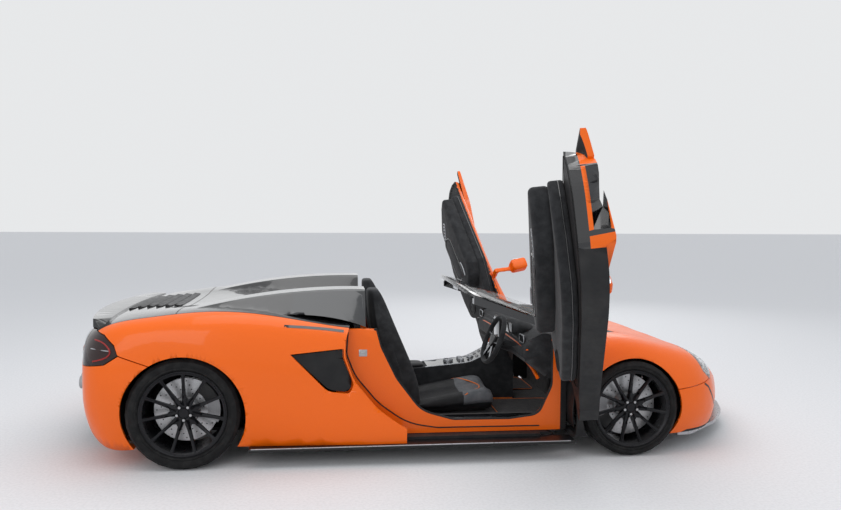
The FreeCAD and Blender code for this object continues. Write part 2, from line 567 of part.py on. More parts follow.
# Flare of the door's skin over the side intake, with its mouth, and the tip that lies along the rear wing
flare_sections = (
    (1560, ((-850, 300), (-905, 310), (-880, 500), (-850, 680), (-830, 690))),
    (1140, ((-850, 300), (-968, 312), (-968, 470), (-918, 700), (-850, 745))),
    (960, ((-840, 585), (-934, 590), (-930, 650), (-900, 765), (-850, 797))),
    (830, ((-868, 772), (-905, 775), (-903, 785), (-895, 795), (-868, 798))),
)
flare_wires = [rounded_wire(sharp(corners), lambda p, x=x: V(x, p.x, p.y)) for x, corners in flare_sections]
flare = Part.makeLoft(flare_wires, True, True)
flare_tip = flare.common(side_prism(sharp(((820, 805), (960, 805), (960, 690), (925, 690))), -1100, -700))
flare_tip = flare_tip.cut(body_form(-door_gap))
flare_mouth = side_prism(sharp(((900, 640), (1130, 600), (1190, 420), (1150, 345), (900, 430))), -948, -868)
door_block = fused([door_block, flare.common(door_region), flare_tip]).cut(flare_mouth)
mirror_block = box(1960, 2060, -1095, -960, 800, 900)
mirror_body = mirror_block.makeFillet(22, mirror_block.Edges)
mirror_stalk = fused([box(1990, 2030, -975, -815, 806, 822), box(1990, 2030, -850, -815, 660, 822)])
mirror_piece = fused([mirror_body, mirror_stalk]).cut(door_block.translated(V(0, 0, seat_clearance)))

# Goose-neck hinge: the pin and its ears belong to the car, the barrel and its arm to the door
pivot = V(*hinge_point)
lean = V(*hinge_axis).normalize()
pin_low = pivot - lean * hinge_ear_reach
pin_high = pivot + lean * hinge_ear_reach
low_seat = V(2306, -door_inner_y + 20, 585)
high_seat = V(2300, -door_inner_y + 20, 700)
ear_radius = 9.0
arm_radius = 8.0
car_hinge = fused([strut(pin_low - lean * ear_radius, pin_high + lean * ear_radius, hinge_pin_radius),
                   strut(pin_low, low_seat, ear_radius), strut(pin_high, high_seat, ear_radius)])
arm_corner = V(hinge_point[0], -800, hinge_point[2])
arm_end = V(2262, -803, hinge_point[2])
barrel_low = pivot - lean * hinge_barrel_half
barrel_high = pivot + lean * hinge_barrel_half
door_hinge = fused([strut(barrel_low, barrel_high, hinge_barrel_radius), strut(pivot, arm_corner, arm_radius),
                    Part.makeSphere(arm_radius, arm_corner), strut(arm_corner, arm_end, arm_radius)])
door_hinge = door_hinge.cut(strut(pin_low, pin_high, hinge_pin_radius + running_fit))
door_block = fused([door_block, door_hinge])
nodes["door_jambs"] = both(fused([jamb, car_hinge]))
for name, shape in (("door", door_block), ("door_trim", trim), ("mirror", mirror_piece)):
    nodes[name + "_right"] = turned_door(shape, -1)
    nodes[name + "_left"] = turned_door(mirrored(shape), 1)

# Wheels, hubs, brakes and arms
suspension = []
for place, x, tyre_radius, rim_radius, face, width, disc_radius, caliper_side in wheel_sites:
    z = tyre_radius
    out_y = face + 5
    in_y = out_y - width
    half = width / 2
    mid_y = out_y - half
    bead = rim_radius + seat_clearance
    tyre = spun([(in_y + 12, bead), (in_y, bead + 22), (in_y + 3, tyre_radius - 24),
        (in_y + 26, tyre_radius - 3),
                 (mid_y, tyre_radius), (out_y - 26, tyre_radius - 3), (out_y - 3, tyre_radius - 24),
                 (out_y, bead + 22), (out_y - 12, bead)], x, z)
    barrel_radius = rim_radius - 14
    barrel = spun([(in_y + 6, rim_radius), (in_y + 16, rim_radius), (in_y + 18, barrel_radius),
                   (face - 14, barrel_radius), (face - 12, rim_radius), (face, rim_radius),
                   (face, rim_radius - 7),
                   (face - 8, barrel_radius - rim_barrel_wall),
                   (in_y + 6, barrel_radius - rim_barrel_wall)], x, z)
    hub = spun([(face - 72, 20.05), (face - 72, hub_radius), (face - 40, hub_radius),
        (face - 34, hub_radius - 8),
                (face - 34, 20.05)], x, z)
    spoke_outline = sharp(((face - 12, rim_radius - 18), (face - 12 - spoke_depth, rim_radius - 18),
                           (face - 40 - spoke_depth, hub_radius - 12), (face - 38, hub_radius - 12)))
    spokes = []
    for i in range(spoke_count):
        wire = rounded_wire(spoke_outline, lambda p: V(x - spoke_width / 2, p.x, z + p.y))
        spoke = Part.Face(wire).extrude(V(spoke_width, 0, 0))
        spoke.rotate(V(x, 0, z), V(0, 1, 0), 360.0 * i / spoke_count)
        spokes.append(spoke)
    rim = fused([barrel, hub] + spokes)
    disc_y = face - 150
    disc = spun([(disc_y, 20.05), (disc_y, disc_radius), (disc_y + disc_thickness, disc_radius),
                 (disc_y + disc_thickness, 78), (face - 72 - seat_clearance, 74),
                 (face - 72 - seat_clearance, 20.05)],
                x, z)
    caliper = spun([(disc_y - 26, 128), (disc_y - 26, disc_radius + 12),
        (disc_y + disc_thickness + 24, disc_radius + 12),
                    (disc_y + disc_thickness + 24, 128), (disc_y + disc_thickness + 5, 128),
                    (disc_y + disc_thickness + 5, disc_radius + 5), (disc_y - 5, disc_radius + 5),
                    (disc_y - 5, 128)], x, z)
    wedge = side_prism(sharp(((x, z), (x + caliper_side * 300, z - 120),
        (x + caliper_side * 300, z + 120))), 0, 1100)
    caliper = caliper.common(wedge)
    kingpin_y = face - kingpin_inset
    carrier = fused([across(x, z, 46, kingpin_y - 10, disc_y - 8), across(x, z, 20, disc_y - 20, face - 45),
                     Part.makeCylinder(22, 200, V(x, kingpin_y, z - 100)),
                     side_prism(sharp(((x, z - 30), (x + caliper_side * 150, z - 60),
                     (x + caliper_side * 150, z + 60),
                                       (x, z + 30))), disc_y - 40, disc_y - 20),
                     caliper])
    arm_root_y = 380 + seat_clearance
    arm = plan_prism(sharp(((x - 170, arm_root_y), (x - 120, arm_root_y), (x, 620), (x + 120, arm_root_y),
                            (x + 170, arm_root_y), (x + 24, kingpin_y + 20), (x - 24, kingpin_y + 20))),
                     z - 126, z - 100 - seat_clearance)
    suspension += [arm, mirrored(arm)]
    for side, sign in (("left", 1), ("right", -1)):
        flip = (lambda s: s) if sign == 1 else mirrored
        nodes["tyre_%s_%s" % (place, side)] = flip(tyre)
        nodes["rim_%s_%s" % (place, side)] = flip(rim)
        nodes["disc_%s_%s" % (place, side)] = flip(disc)
        if place == "front":
            nodes["knuckle_%s" % side] = flip(carrier)
    if place == "rear":
        nodes["rear_uprights"] = both(carrier)
nodes["suspension"] = Part.makeCompound(suspension)

for name, shape in nodes.items():
    placed = shape.translated(V(-mid_length, 0, 0))
    placed.exportStep("parts/%s.step" % name)
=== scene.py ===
import json
import logging
import math
from contextlib import contextmanager
from dataclasses import dataclass, field
from enum import Enum
from typing import Callable, Iterator, Sequence

import bmesh
import bpy
from mathutils import Matrix, Vector
from mathutils.bvhtree import BVHTree

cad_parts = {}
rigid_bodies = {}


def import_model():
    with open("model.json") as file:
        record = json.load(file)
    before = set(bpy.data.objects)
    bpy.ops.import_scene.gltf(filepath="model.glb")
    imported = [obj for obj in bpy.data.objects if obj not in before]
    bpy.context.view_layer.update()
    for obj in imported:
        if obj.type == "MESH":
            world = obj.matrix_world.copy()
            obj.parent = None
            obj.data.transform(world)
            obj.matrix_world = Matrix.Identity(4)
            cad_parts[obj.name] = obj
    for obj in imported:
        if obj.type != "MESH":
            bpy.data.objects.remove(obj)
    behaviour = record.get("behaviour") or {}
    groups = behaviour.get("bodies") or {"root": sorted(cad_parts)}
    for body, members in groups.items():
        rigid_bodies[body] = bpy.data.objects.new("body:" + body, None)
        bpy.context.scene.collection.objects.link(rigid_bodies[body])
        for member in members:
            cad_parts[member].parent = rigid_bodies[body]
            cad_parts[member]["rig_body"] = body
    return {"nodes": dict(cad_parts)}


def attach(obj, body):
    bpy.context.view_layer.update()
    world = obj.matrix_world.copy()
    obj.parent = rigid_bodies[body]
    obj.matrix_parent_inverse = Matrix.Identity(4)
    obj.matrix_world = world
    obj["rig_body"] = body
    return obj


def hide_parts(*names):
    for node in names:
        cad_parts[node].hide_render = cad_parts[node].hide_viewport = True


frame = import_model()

logging.basicConfig(level=logging.INFO, format="%(name)s: %(message)s")
log = logging.getLogger("sports_car")

Point = tuple[float, float, float]
Pair = tuple[float, float]
Colour = tuple[float, float, float]
Piece = bpy.types.Object
Socket = bpy.types.NodeSocket
Material = bpy.types.Material

REAR_AXLE_X = -1.47
"""Where the rear axle stands along the frame's X, in metres."""


class Side(Enum):
    """The car's two sides, by the sign of Y."""

    RIGHT = -1
    LEFT = 1

    @property
    def word(self) -> str:
        """The side's name as the nodes and bodies spell it."""
        return self.name.lower()


def along(x: float) -> float:
    """Turns a length measured forward from the rear axle into the frame's X."""
    return REAR_AXLE_X + x


class Bench:
    """The modelling bench: short calls to Blender's own operators."""

    @staticmethod
    def clear() -> None:
        """Leaves edit mode and deselects everything."""
        if bpy.context.object is not None and bpy.context.object.mode != "OBJECT":
            bpy.ops.object.mode_set(mode="OBJECT")
        for item in bpy.context.selected_objects:
            item.select_set(False)

    @staticmethod
    def take(piece: Piece) -> None:
        """Selects one piece alone and makes it active."""
        Bench.clear()
        piece.select_set(True)
        bpy.context.view_layer.objects.active = piece

    @staticmethod
    @contextmanager
    def editing(piece: Piece) -> Iterator[Piece]:
        """Opens edit mode on a piece and closes it again.

        Args:
            piece: The piece to edit.

        Returns:
            The piece, while edit mode lasts.
        """
        Bench.take(piece)
        bpy.ops.object.mode_set(mode="EDIT")
        bpy.ops.mesh.select_all(action="SELECT")
        try:
            yield piece
        finally:
            bpy.ops.object.mode_set(mode="OBJECT")

    @staticmethod
    def settle(piece: Piece) -> Piece:
        """Puts a piece's place into its mesh, so that its object sits at the origin."""
        Bench.take(piece)
        bpy.ops.object.transform_apply(location=True, rotation=True, scale=True)
        return piece

    @staticmethod
    def modify(piece: Piece, kind: str, **settings: object) -> None:
        """Adds a modifier, sets it and applies it.

        Args:
            piece: The piece to change.
            kind: Blender's name for the modifier's type.
            settings: The modifier's own settings.
        """
        Bench.take(piece)
        modifier = piece.modifiers.new(kind.title(), kind)
        for name, value in settings.items():
            setattr(modifier, name, value)
        bpy.ops.object.modifier_apply(modifier=modifier.name)

    @staticmethod
    def smooth(piece: Piece, angle: float = 32.0) -> None:
        """Shades a piece smooth across edges flatter than an angle in degrees."""
        Bench.take(piece)
        bpy.ops.object.shade_smooth_by_angle(angle=math.radians(angle))

    @staticmethod
    def join(name: str, pieces: Sequence[Piece]) -> Piece:
        """Joins pieces into one mesh.

        Args:
            name: The joined piece's name.
            pieces: The pieces to join.

        Returns:
            The joined piece.
        """
        Bench.clear()
        for piece in pieces:
            piece.select_set(True)
        bpy.context.view_layer.objects.active = pieces[0]
        bpy.ops.object.join()
        whole = bpy.context.object
        whole.name = name
        return whole

    @staticmethod
    def copied(piece: Piece, name: str) -> Piece:
        """Makes a copy of a piece with a mesh of its own."""
        twin = bpy.data.objects.new(name, piece.data.copy())
        bpy.context.scene.collection.objects.link(twin)
        return twin

    @staticmethod
    def mirrored(piece: Piece, name: str) -> Piece:
        """Makes a copy of a piece on the car's other side, its faces outwards."""
        twin = Bench.copied(piece, name)
        twin.data.transform(Matrix.Diagonal((1.0, -1.0, 1.0, 1.0)))
        twin.data.flip_normals()
        return twin

    @staticmethod
    def moved(piece: Piece, matrix: Matrix) -> Piece:
        """Moves a piece's mesh, its object staying at the origin."""
        piece.data.transform(matrix)
        piece.data.update()
        return piece

    @staticmethod
    def outline(name: str, points: Sequence[Vector]) -> Piece:
        """Draws an open line of edges by extruding one point after another.

        Args:
            name: The piece's name.
            points: The line's points.

        Returns:
            The line as a mesh of edges.
        """
        Bench.clear()
        bpy.ops.mesh.primitive_plane_add(size=0.001, location=points[0])
        piece = bpy.context.object
        piece.name = name
        with Bench.editing(piece):
            bpy.ops.mesh.merge(type="CENTER")
            for before, after in zip(points, points[1:]):
                step = tuple(Vector(after) - Vector(before))
                bpy.ops.mesh.extrude_vertices_move(TRANSFORM_OT_translate={"value": step})
        return Bench.settle(piece)

    @staticmethod
    def faced(name: str, points: Sequence[Vector]) -> Piece:
        """Draws a closed outline and fills it with one face.

        Args:
            name: The piece's name.
            points: The outline's points in order.

        Returns:
            The face.
        """
        piece = Bench.outline(name, points)
        with Bench.editing(piece):
            bpy.ops.mesh.edge_face_add()
        return piece

    @staticmethod
    def spun(name: str, profile: Sequence[Point], centre: Point, axis: Point, steps: int = 64) -> Piece:
        """Closes a drawn profile and spins it once round an axis.

        Args:
            name: The piece's name.
            profile: The profile's points.
            centre: A point on the axis.
            axis: The axis.
            steps: How many steps the turn has.

        Returns:
            The spun piece, smooth where it is round.
        """
        piece = Bench.outline(name, [Vector(p) for p in profile])
        with Bench.editing(piece):
            bpy.ops.mesh.select_mode(type="VERT")
            mesh = bmesh.from_edit_mesh(piece.data)
            for vert in mesh.verts:
                vert.select_set(len(vert.link_edges) == 1)
            bmesh.update_edit_mesh(piece.data)
            bpy.ops.mesh.edge_face_add()
            bpy.ops.mesh.select_all(action="SELECT")
            bpy.ops.mesh.spin(steps=steps, angle=math.tau, center=centre, axis=axis)
            bpy.ops.mesh.select_all(action="SELECT")
            bpy.ops.mesh.remove_doubles(threshold=1e-5)
            bpy.ops.mesh.normals_make_consistent(inside=False)
        Bench.smooth(piece)
        return piece

    @staticmethod
    def plate(name: str, corners: Sequence[Vector], thickness: Vector, bevel: float,
              segments: int = 2) -> Piece:
        """Cuts a plate to a drawn outline, gives it thickness and rounds its edges.

        Args:
            name: The piece's name.
            corners: The outline's corners in order.
            thickness: How far and which way the outline is extruded.
            bevel: The width of the rounding on its edges, in metres.
            segments: How many steps that rounding has.

        Returns:
            The plate.
        """
        piece = Bench.faced(name, corners)
        with Bench.editing(piece):
            bpy.ops.mesh.extrude_region_move(TRANSFORM_OT_translate={"value": tuple(thickness)})
            bpy.ops.mesh.select_all(action="SELECT")
            bpy.ops.mesh.normals_make_consistent(inside=False)
        Bench.modify(piece, "BEVEL", width=bevel, segments=segments, limit_method="ANGLE",
                     angle_limit=math.radians(40))
        Bench.smooth(piece)
        return piece

    @staticmethod
    def lofted(name: str, sections: Sequence[Sequence[Point]], levels: int = 0) -> Piece:
        """Builds a closed form through rings of points by extruding ring after ring.

        Args:
            name: The form's name.
            sections: Rings with the same number of points, in order.
            levels: How many times the form is subdivided smooth.

        Returns:
            The form.
        """
        piece = Bench.faced(name, [Vector(p) for p in sections[0]])
        with Bench.editing(piece):
            for section in sections[1:]:
                bpy.ops.mesh.extrude_region_move()
                mesh = bmesh.from_edit_mesh(piece.data)
                fresh = sorted((vert for vert in mesh.verts if vert.select), key=lambda vert: vert.index)
                for vert, target in zip(fresh, section):
                    vert.co = target
                bmesh.update_edit_mesh(piece.data)
            bpy.ops.mesh.select_all(action="SELECT")
            bpy.ops.mesh.normals_make_consistent(inside=False)
        if levels:
            Bench.modify(piece, "SUBSURF", levels=levels)
        Bench.smooth(piece, 80 if levels else 35)
        return piece

    @staticmethod
    def block(name: str, low: Point, high: Point, bevel: float, segments: int = 3) -> Piece:
        """A rounded block between two corners.

        Args:
            name: The piece's name.
            low: Its lowest corner.
            high: Its highest corner.
            bevel: The width of the rounding, in metres.
            segments: How many steps the rounding has.

        Returns:
            The block.
        """
        Bench.clear()
        middle = [(a + b) / 2 for a, b in zip(low, high)]
        bpy.ops.mesh.primitive_cube_add(size=1.0, location=middle)
        piece = bpy.context.object
        piece.name = name
        piece.scale = [b - a for a, b in zip(low, high)]
        Bench.settle(piece)
        Bench.modify(piece, "BEVEL", width=bevel, segments=segments)
        Bench.smooth(piece)
        return piece

    @staticmethod
    def rod(name: str, points: Sequence[Point], radius: float, sides: int = 10, closed: bool = False,
            order: int = 3) -> Piece:
        """A round bar along a smooth line of points, as a mesh.

        Args:
            name: The piece's name.
            points: The line's control points.
            radius: The bar's radius, in metres.
            sides: How many sides the bar has.
            closed: Whether the line is a loop.
            order: 2 keeps straight runs, 3 and more round them.

        Returns:
            The bar.
        """
        curve = bpy.data.curves.new(name, "CURVE")
        curve.dimensions = "3D"
        spline = curve.splines.new("NURBS")
        spline.points.add(len(points) - 1)
        for knot, point in zip(spline.points, points):
            knot.co = (*point, 1.0)
        spline.order_u = order
        spline.use_endpoint_u = not closed
        spline.use_cyclic_u = closed
        spline.resolution_u = 6
        curve.bevel_depth = radius
        curve.bevel_resolution = max(sides // 2 - 2, 1)
        curve.use_fill_caps = not closed
        piece = bpy.data.objects.new(name, curve)
        bpy.context.scene.collection.objects.link(piece)
        Bench.take(piece)
        bpy.ops.object.convert(target="MESH")
        piece = bpy.context.object
        piece.name = name
        Bench.smooth(piece, 50)
        return piece


class Recipe:
    """One material's node tree, with short calls for the nodes it uses."""

    def __init__(self, name: str, colour: Colour, roughness: float, metallic: float = 0.0) -> None:
        """Starts a material.

        Args:
            name: The material's name.
            colour: Its base colour, linear.
            roughness: Its roughness.
            metallic: How metallic it is.
        """
        self.material = bpy.data.materials.new(name)
        self.material.use_nodes = True
        self.tree = self.material.node_tree
        self.shader = self.tree.nodes["Principled BSDF"]
        self.put("Base Color", (*colour, 1.0))
        self.put("Roughness", roughness)
        self.put("Metallic", metallic)
        self.material.diffuse_color = (*colour, 1.0)
        self.coordinates = self.tree.nodes.new("ShaderNodeTexCoord")

    def put(self, socket: str, value: object) -> None:
        """Sets one of the shader's sockets."""
        self.shader.inputs[socket].default_value = value

    def node(self, kind: str, **settings: object) -> bpy.types.Node:
        """Adds a node and sets its properties and inputs.

        Args:
            kind: The node's type.
            settings: Properties, and inputs by their names with underscores for spaces.

        Returns:
            The new node.
        """
        item = self.tree.nodes.new(kind)
        for name, value in settings.items():
            label = name.replace("_", " ")
            if label in item.inputs:
                item.inputs[label].default_value = value
            else:
                setattr(item, name, value)
        return item

    def wire(self, start: Socket, end: Socket) -> None:
        """Joins two sockets."""
        self.tree.links.new(start, end)

    def noise(self, scale: float, detail: float = 3.0, stretch: Point = (1.0, 1.0, 1.0)) -> Socket:
        """A noise pattern on Object coordinates.

        Args:
            scale: How fine it is, per metre.
            detail: How many finer layers it has.
            stretch: A further scale along each axis.

        Returns:
            The noise's value.
        """
        mapping = self.node("ShaderNodeMapping")
        mapping.inputs["Scale"].default_value = stretch
        self.wire(self.coordinates.outputs["Object"], mapping.inputs["Vector"])
        texture = self.node("ShaderNodeTexNoise", Scale=scale, Detail=detail)
        self.wire(mapping.outputs["Vector"], texture.inputs["Vector"])
        return texture.outputs["Fac"]

    def cells(self, scale: float, feature: str = "F1") -> Socket:
        """A cell pattern on Object coordinates.

        Args:
            scale: How fine it is, per metre.
            feature: Which distance it gives.

        Returns:
            The distance.
        """
        texture = self.node("ShaderNodeTexVoronoi", Scale=scale)
        texture.feature = feature
        self.wire(self.coordinates.outputs["Object"], texture.inputs["Vector"])
        return texture.outputs["Distance"]

    def spread(self, value: Socket, low: float, high: float, start: float = 0.3,
               end: float = 0.7) -> Socket:
        """Maps a pattern onto a range.

        Args:
            value: The pattern.
            low: The result at start.
            high: The result at end.
            start: The pattern's value that gives low.
            end: The pattern's value that gives high.

        Returns:
            The mapped value.
        """
        ramp = self.node("ShaderNodeMapRange")
        for name, number in (("From Min", start), ("From Max", end), ("To Min", low), ("To Max", high)):
            ramp.inputs[name].default_value = number
        self.wire(value, ramp.inputs["Value"])
        return ramp.outputs["Result"]

    def tinted(self, value: Socket, first: Colour, second: Colour, start: float = 0.35,
               end: float = 0.65) -> Socket:
        """Mixes two colours by a pattern.

        Args:
            value: The pattern.
            first: The colour where it is low.
            second: The colour where it is high.
            start: Where the first colour ends.
            end: Where the second colour starts.

        Returns:
            The mixed colour.
        """
        ramp = self.node("ShaderNodeValToRGB")
        ramp.color_ramp.elements[0].position = start
        ramp.color_ramp.elements[0].color = (*first, 1.0)
        ramp.color_ramp.elements[1].position = end
        ramp.color_ramp.elements[1].color = (*second, 1.0)
        self.wire(value, ramp.inputs["Fac"])
        return ramp.outputs["Color"]

    def coloured(self, colour: Socket) -> None:
        """Gives the shader its base colour from a pattern."""
        self.wire(colour, self.shader.inputs["Base Color"])

    def roughened(self, value: Socket) -> None:
        """Gives the shader its roughness from a pattern."""
        self.wire(value, self.shader.inputs["Roughness"])

    def bumped(self, height: Socket, strength: float, distance: float) -> None:
        """Gives the surface a fine relief.

        Args:
            height: The relief's pattern.
            strength: How strong it is.
            distance: How deep it is, in metres.
        """
        bump = self.node("ShaderNodeBump", Strength=strength, Distance=distance)
        self.wire(height, bump.inputs["Height"])
        self.wire(bump.outputs["Normal"], self.shader.inputs["Normal"])


@dataclass(frozen=True)
class Finish:
    """What every finish has: a name and a material to build."""

    name: str

    def build(self) -> Material:
        """Makes the material."""
        raise NotImplementedError


@dataclass(frozen=True)
class CoatedPaint(Finish):
    """Car paint: colour with fine flake under a clear coat."""

    colour: Colour
    flake: Colour
    roughness: float = 0.32
    metallic: float = 0.0
    coat: float = 1.0
    specular: float = 0.5

    def build(self) -> Material:
        """Makes the material."""
        recipe = Recipe(self.name, self.colour, self.roughness, self.metallic)
        recipe.coloured(recipe.tinted(recipe.cells(2600.0), self.flake, self.colour, 0.10, 0.42))
        recipe.roughened(recipe.spread(recipe.noise(14.0), self.roughness - 0.03, self.roughness + 0.05))
        recipe.put("Coat Weight", self.coat)
        recipe.put("Specular IOR Level", self.specular)
        recipe.put("Coat Roughness", 0.03)
        recipe.put("Coat IOR", 1.5)
        return recipe.material


@dataclass(frozen=True)
class MouldedPlastic(Finish):
    """Moulded plastic or composite with a fine grain and light dust."""

    colour: Colour
    dust: Colour
    roughness: float = 0.5
    grain: float = 900.0
    depth: float = 0.00015
    metallic: float = 0.0

    def build(self) -> Material:
        """Makes the material."""
        recipe = Recipe(self.name, self.colour, self.roughness, self.metallic)
        recipe.coloured(recipe.tinted(recipe.noise(9.0, 5.0), self.colour, self.dust, 0.42, 0.85))
        recipe.roughened(recipe.spread(recipe.noise(35.0), self.roughness - 0.06, self.roughness + 0.08))
        recipe.bumped(recipe.noise(self.grain, 2.0), 0.5, self.depth)
        recipe.put("Specular IOR Level", 0.3)
        return recipe.material


@dataclass(frozen=True)
class RoadRubber(Finish):
    """Tyre rubber, a little greyer where dust sits."""

    colour: Colour = (0.006, 0.006, 0.0065)
    dust: Colour = (0.020, 0.0195, 0.019)

    def build(self) -> Material:
        """Makes the material."""
        recipe = Recipe(self.name, self.colour, 0.62)
        recipe.coloured(recipe.tinted(recipe.noise(24.0, 6.0), self.colour, self.dust, 0.45, 0.8))
        recipe.roughened(recipe.spread(recipe.noise(60.0), 0.52, 0.74))
        recipe.bumped(recipe.noise(420.0, 3.0), 0.35, 0.0003)
        recipe.put("Specular IOR Level", 0.2)
        return recipe.material


@dataclass(frozen=True)
class Metal(Finish):
    """Bare or plated metal with fine brushing or casting texture."""

    colour: Colour
    roughness: float
    streak: Point = (1.0, 1.0, 1.0)
    scale: float = 160.0
    depth: float = 0.0002

    def build(self) -> Material:
        """Makes the material."""
        recipe = Recipe(self.name, self.colour, self.roughness, 1.0)
        pattern = recipe.noise(self.scale, 4.0, self.streak)
        darker = tuple(channel * 0.72 for channel in self.colour)
        recipe.coloured(recipe.tinted(pattern, darker, self.colour, 0.3, 0.6))
        recipe.roughened(recipe.spread(pattern, self.roughness - 0.05, self.roughness + 0.1))
        recipe.bumped(pattern, 0.3, self.depth)
        return recipe.material


@dataclass(frozen=True)
class Cloth(Finish):
    """Suede-like cloth, leather or carpet: sheen over a fine relief."""

    colour: Colour
    lighter: Colour
    roughness: float = 0.85
    sheen: float = 0.25
    grain: float = 700.0
    depth: float = 0.0004
    cellular: bool = False

    def build(self) -> Material:
        """Makes the material."""
        recipe = Recipe(self.name, self.colour, self.roughness)
        recipe.coloured(recipe.tinted(recipe.noise(22.0, 6.0), self.colour, self.lighter, 0.38, 0.72))
        roughest = min(self.roughness + 0.06, 1.0)
        recipe.roughened(recipe.spread(recipe.noise(90.0), self.roughness - 0.07, roughest))
        relief = recipe.cells(self.grain) if self.cellular else recipe.noise(self.grain, 4.0)
        recipe.bumped(relief, 0.55, self.depth)
        recipe.put("Specular IOR Level", 0.25)
        recipe.put("Sheen Weight", self.sheen)
        recipe.put("Sheen Roughness", 0.5)
        return recipe.material


@dataclass(frozen=True)
class Glass(Finish):
    """Clear or tinted glass or lens plastic."""

    tint: Colour
    roughness: float = 0.02
    clearness: float = 1.0

    def build(self) -> Material:
        """Makes the material."""
        recipe = Recipe(self.name, self.tint, self.roughness)
        recipe.put("Transmission Weight", self.clearness)
        recipe.put("IOR", 1.45)
        recipe.roughened(recipe.spread(recipe.noise(18.0, 4.0), self.roughness, self.roughness + 0.03))
        recipe.bumped(recipe.noise(6.0, 2.0), 0.05, 0.0005)
        return recipe.material


@dataclass(frozen=True)
class ThinGlass(Finish):
    """A pane that lets most light straight through, so that a thin sheet doesn't bend the view."""

    tint: Colour
    veil: float = 0.12

    def build(self) -> Material:
        """Makes the material."""
        recipe = Recipe(self.name, self.tint, 0.03)
        recipe.put("IOR", 1.5)
        recipe.put("Alpha", self.veil)
        recipe.wire(recipe.spread(recipe.noise(5.0, 4.0), self.veil * 0.85, self.veil * 1.15),
                    recipe.shader.inputs["Alpha"])
        recipe.put("Coat Weight", 1.0)
        recipe.put("Coat Roughness", 0.02)
        return recipe.material


ORANGE = CoatedPaint("orange_paint", (0.86, 0.128, 0.0), (0.95, 0.170, 0.001), 0.42, 0.0, 0.30, 0.25)
GLOSS_BLACK = CoatedPaint("gloss_black", (0.006, 0.006, 0.007), (0.014, 0.014, 0.016), 0.2)
SATIN_BLACK = MouldedPlastic("satin_black", (0.007, 0.007, 0.008), (0.016, 0.016, 0.016),
                             0.34, 500.0, 0.00005)
GRAINED_BLACK = MouldedPlastic("grained_black", (0.010, 0.010, 0.011), (0.024, 0.023, 0.022), 0.55)
COMPOSITE = MouldedPlastic("floor_composite", (0.016, 0.016, 0.017), (0.034, 0.033, 0.032),
                           0.6, 300.0, 0.0003)
SILVER = MouldedPlastic("silver_trim", (0.42, 0.43, 0.45), (0.34, 0.34, 0.35), 0.3, 600.0, 0.00003, 0.6)
RIM_BLACK = MouldedPlastic("wheel_black", (0.010, 0.010, 0.012), (0.020, 0.020, 0.022),
                           0.30, 700.0, 0.00003, 0.35)
RUBBER = RoadRubber("road_rubber")
SEAL_RUBBER = MouldedPlastic("seal_rubber", (0.012, 0.012, 0.012), (0.025, 0.025, 0.025),
                             0.6, 1200.0, 0.0001)
DISC_IRON = Metal("disc_iron", (0.46, 0.46, 0.47), 0.32, (1.0, 0.05, 1.0), 240.0)
CAST_ALLOY = Metal("cast_alloy", (0.33, 0.33, 0.34), 0.5, scale=420.0, depth=0.0006)
CALIPER_BLACK = MouldedPlastic("caliper_black", (0.020, 0.020, 0.021), (0.05, 0.048, 0.045),
                               0.42, 400.0, 0.0002)
SUEDE = Cloth("dark_suede", (0.016, 0.0165, 0.018), (0.032, 0.033, 0.035), 0.92, 0.12)
LEATHER = Cloth("black_leather", (0.007, 0.007, 0.008), (0.016, 0.016, 0.018),
                0.5, 0.03, 380.0, 0.0005, True)
ORANGE_LEATHER = Cloth("orange_leather", (0.62, 0.13, 0.012), (0.75, 0.18, 0.03),
                       0.55, 0.1, 380.0, 0.0004, True)
CARPET = Cloth("dark_carpet", (0.022, 0.019, 0.019), (0.046, 0.041, 0.040), 0.98, 0.15, 900.0, 0.0012)
SMOKED = Glass("smoked_lens", (0.05, 0.02, 0.02), 0.05, 0.6)
CLEAR = Glass("clear_lens", (0.93, 0.95, 0.96), 0.01, 0.96)
PANE = ThinGlass("clear_pane", (0.02, 0.024, 0.025))
GREY_LEATHER = Cloth("grey_leather", (0.075, 0.078, 0.085), (0.11, 0.113, 0.12),
                     0.45, 0.1, 380.0, 0.0004, True)
RED_WEBBING = Cloth("red_webbing", (0.34, 0.012, 0.010), (0.45, 0.03, 0.02), 0.7, 0.2, 900.0, 0.0003)
MIRROR_GLASS = Metal("mirror_glass", (0.72, 0.74, 0.76), 0.06, scale=30.0, depth=0.00001)
RED_LENS = Glass("red_lens", (0.55, 0.015, 0.012), 0.05, 0.5)
LAMP_WHITE = MouldedPlastic("lamp_white", (0.72, 0.73, 0.74), (0.62, 0.63, 0.64), 0.25, 700.0, 0.00002)
SCREEN = CoatedPaint("screen_glass", (0.008, 0.010, 0.013), (0.012, 0.014, 0.017), 0.12)


class Finishes:
    """Every finish, made once and handed out by its name."""

    def __init__(self) -> None:
        """Starts with no material made."""
        self.made: dict[str, Material] = {}

    def of(self, finish: Finish) -> Material:
        """The material of a finish.

        Args:
            finish: One of the finishes above.

        Returns:
            Its material, made when it is first asked for.
        """
        if finish.name not in self.made:
            self.made[finish.name] = finish.build()
        return self.made[finish.name]


FINISHES = Finishes()


def finished(piece: Piece, finish: Finish, body: str, *nodes: str) -> Piece:
    """Dresses a piece, sets it on its body and lets it stand for its nodes.

    Args:
        piece: The piece, its place in its mesh.
        finish: Its finish.
        body: The body that it rides on.
        nodes: The CAD nodes that it stands for.

    Returns:
        The same piece.
    """
    piece.data.materials.clear()
    piece.data.materials.append(FINISHES.of(finish))
    if nodes:
        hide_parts(*nodes)
    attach(piece, body)
    log.info("made %s", piece.name)
    return piece


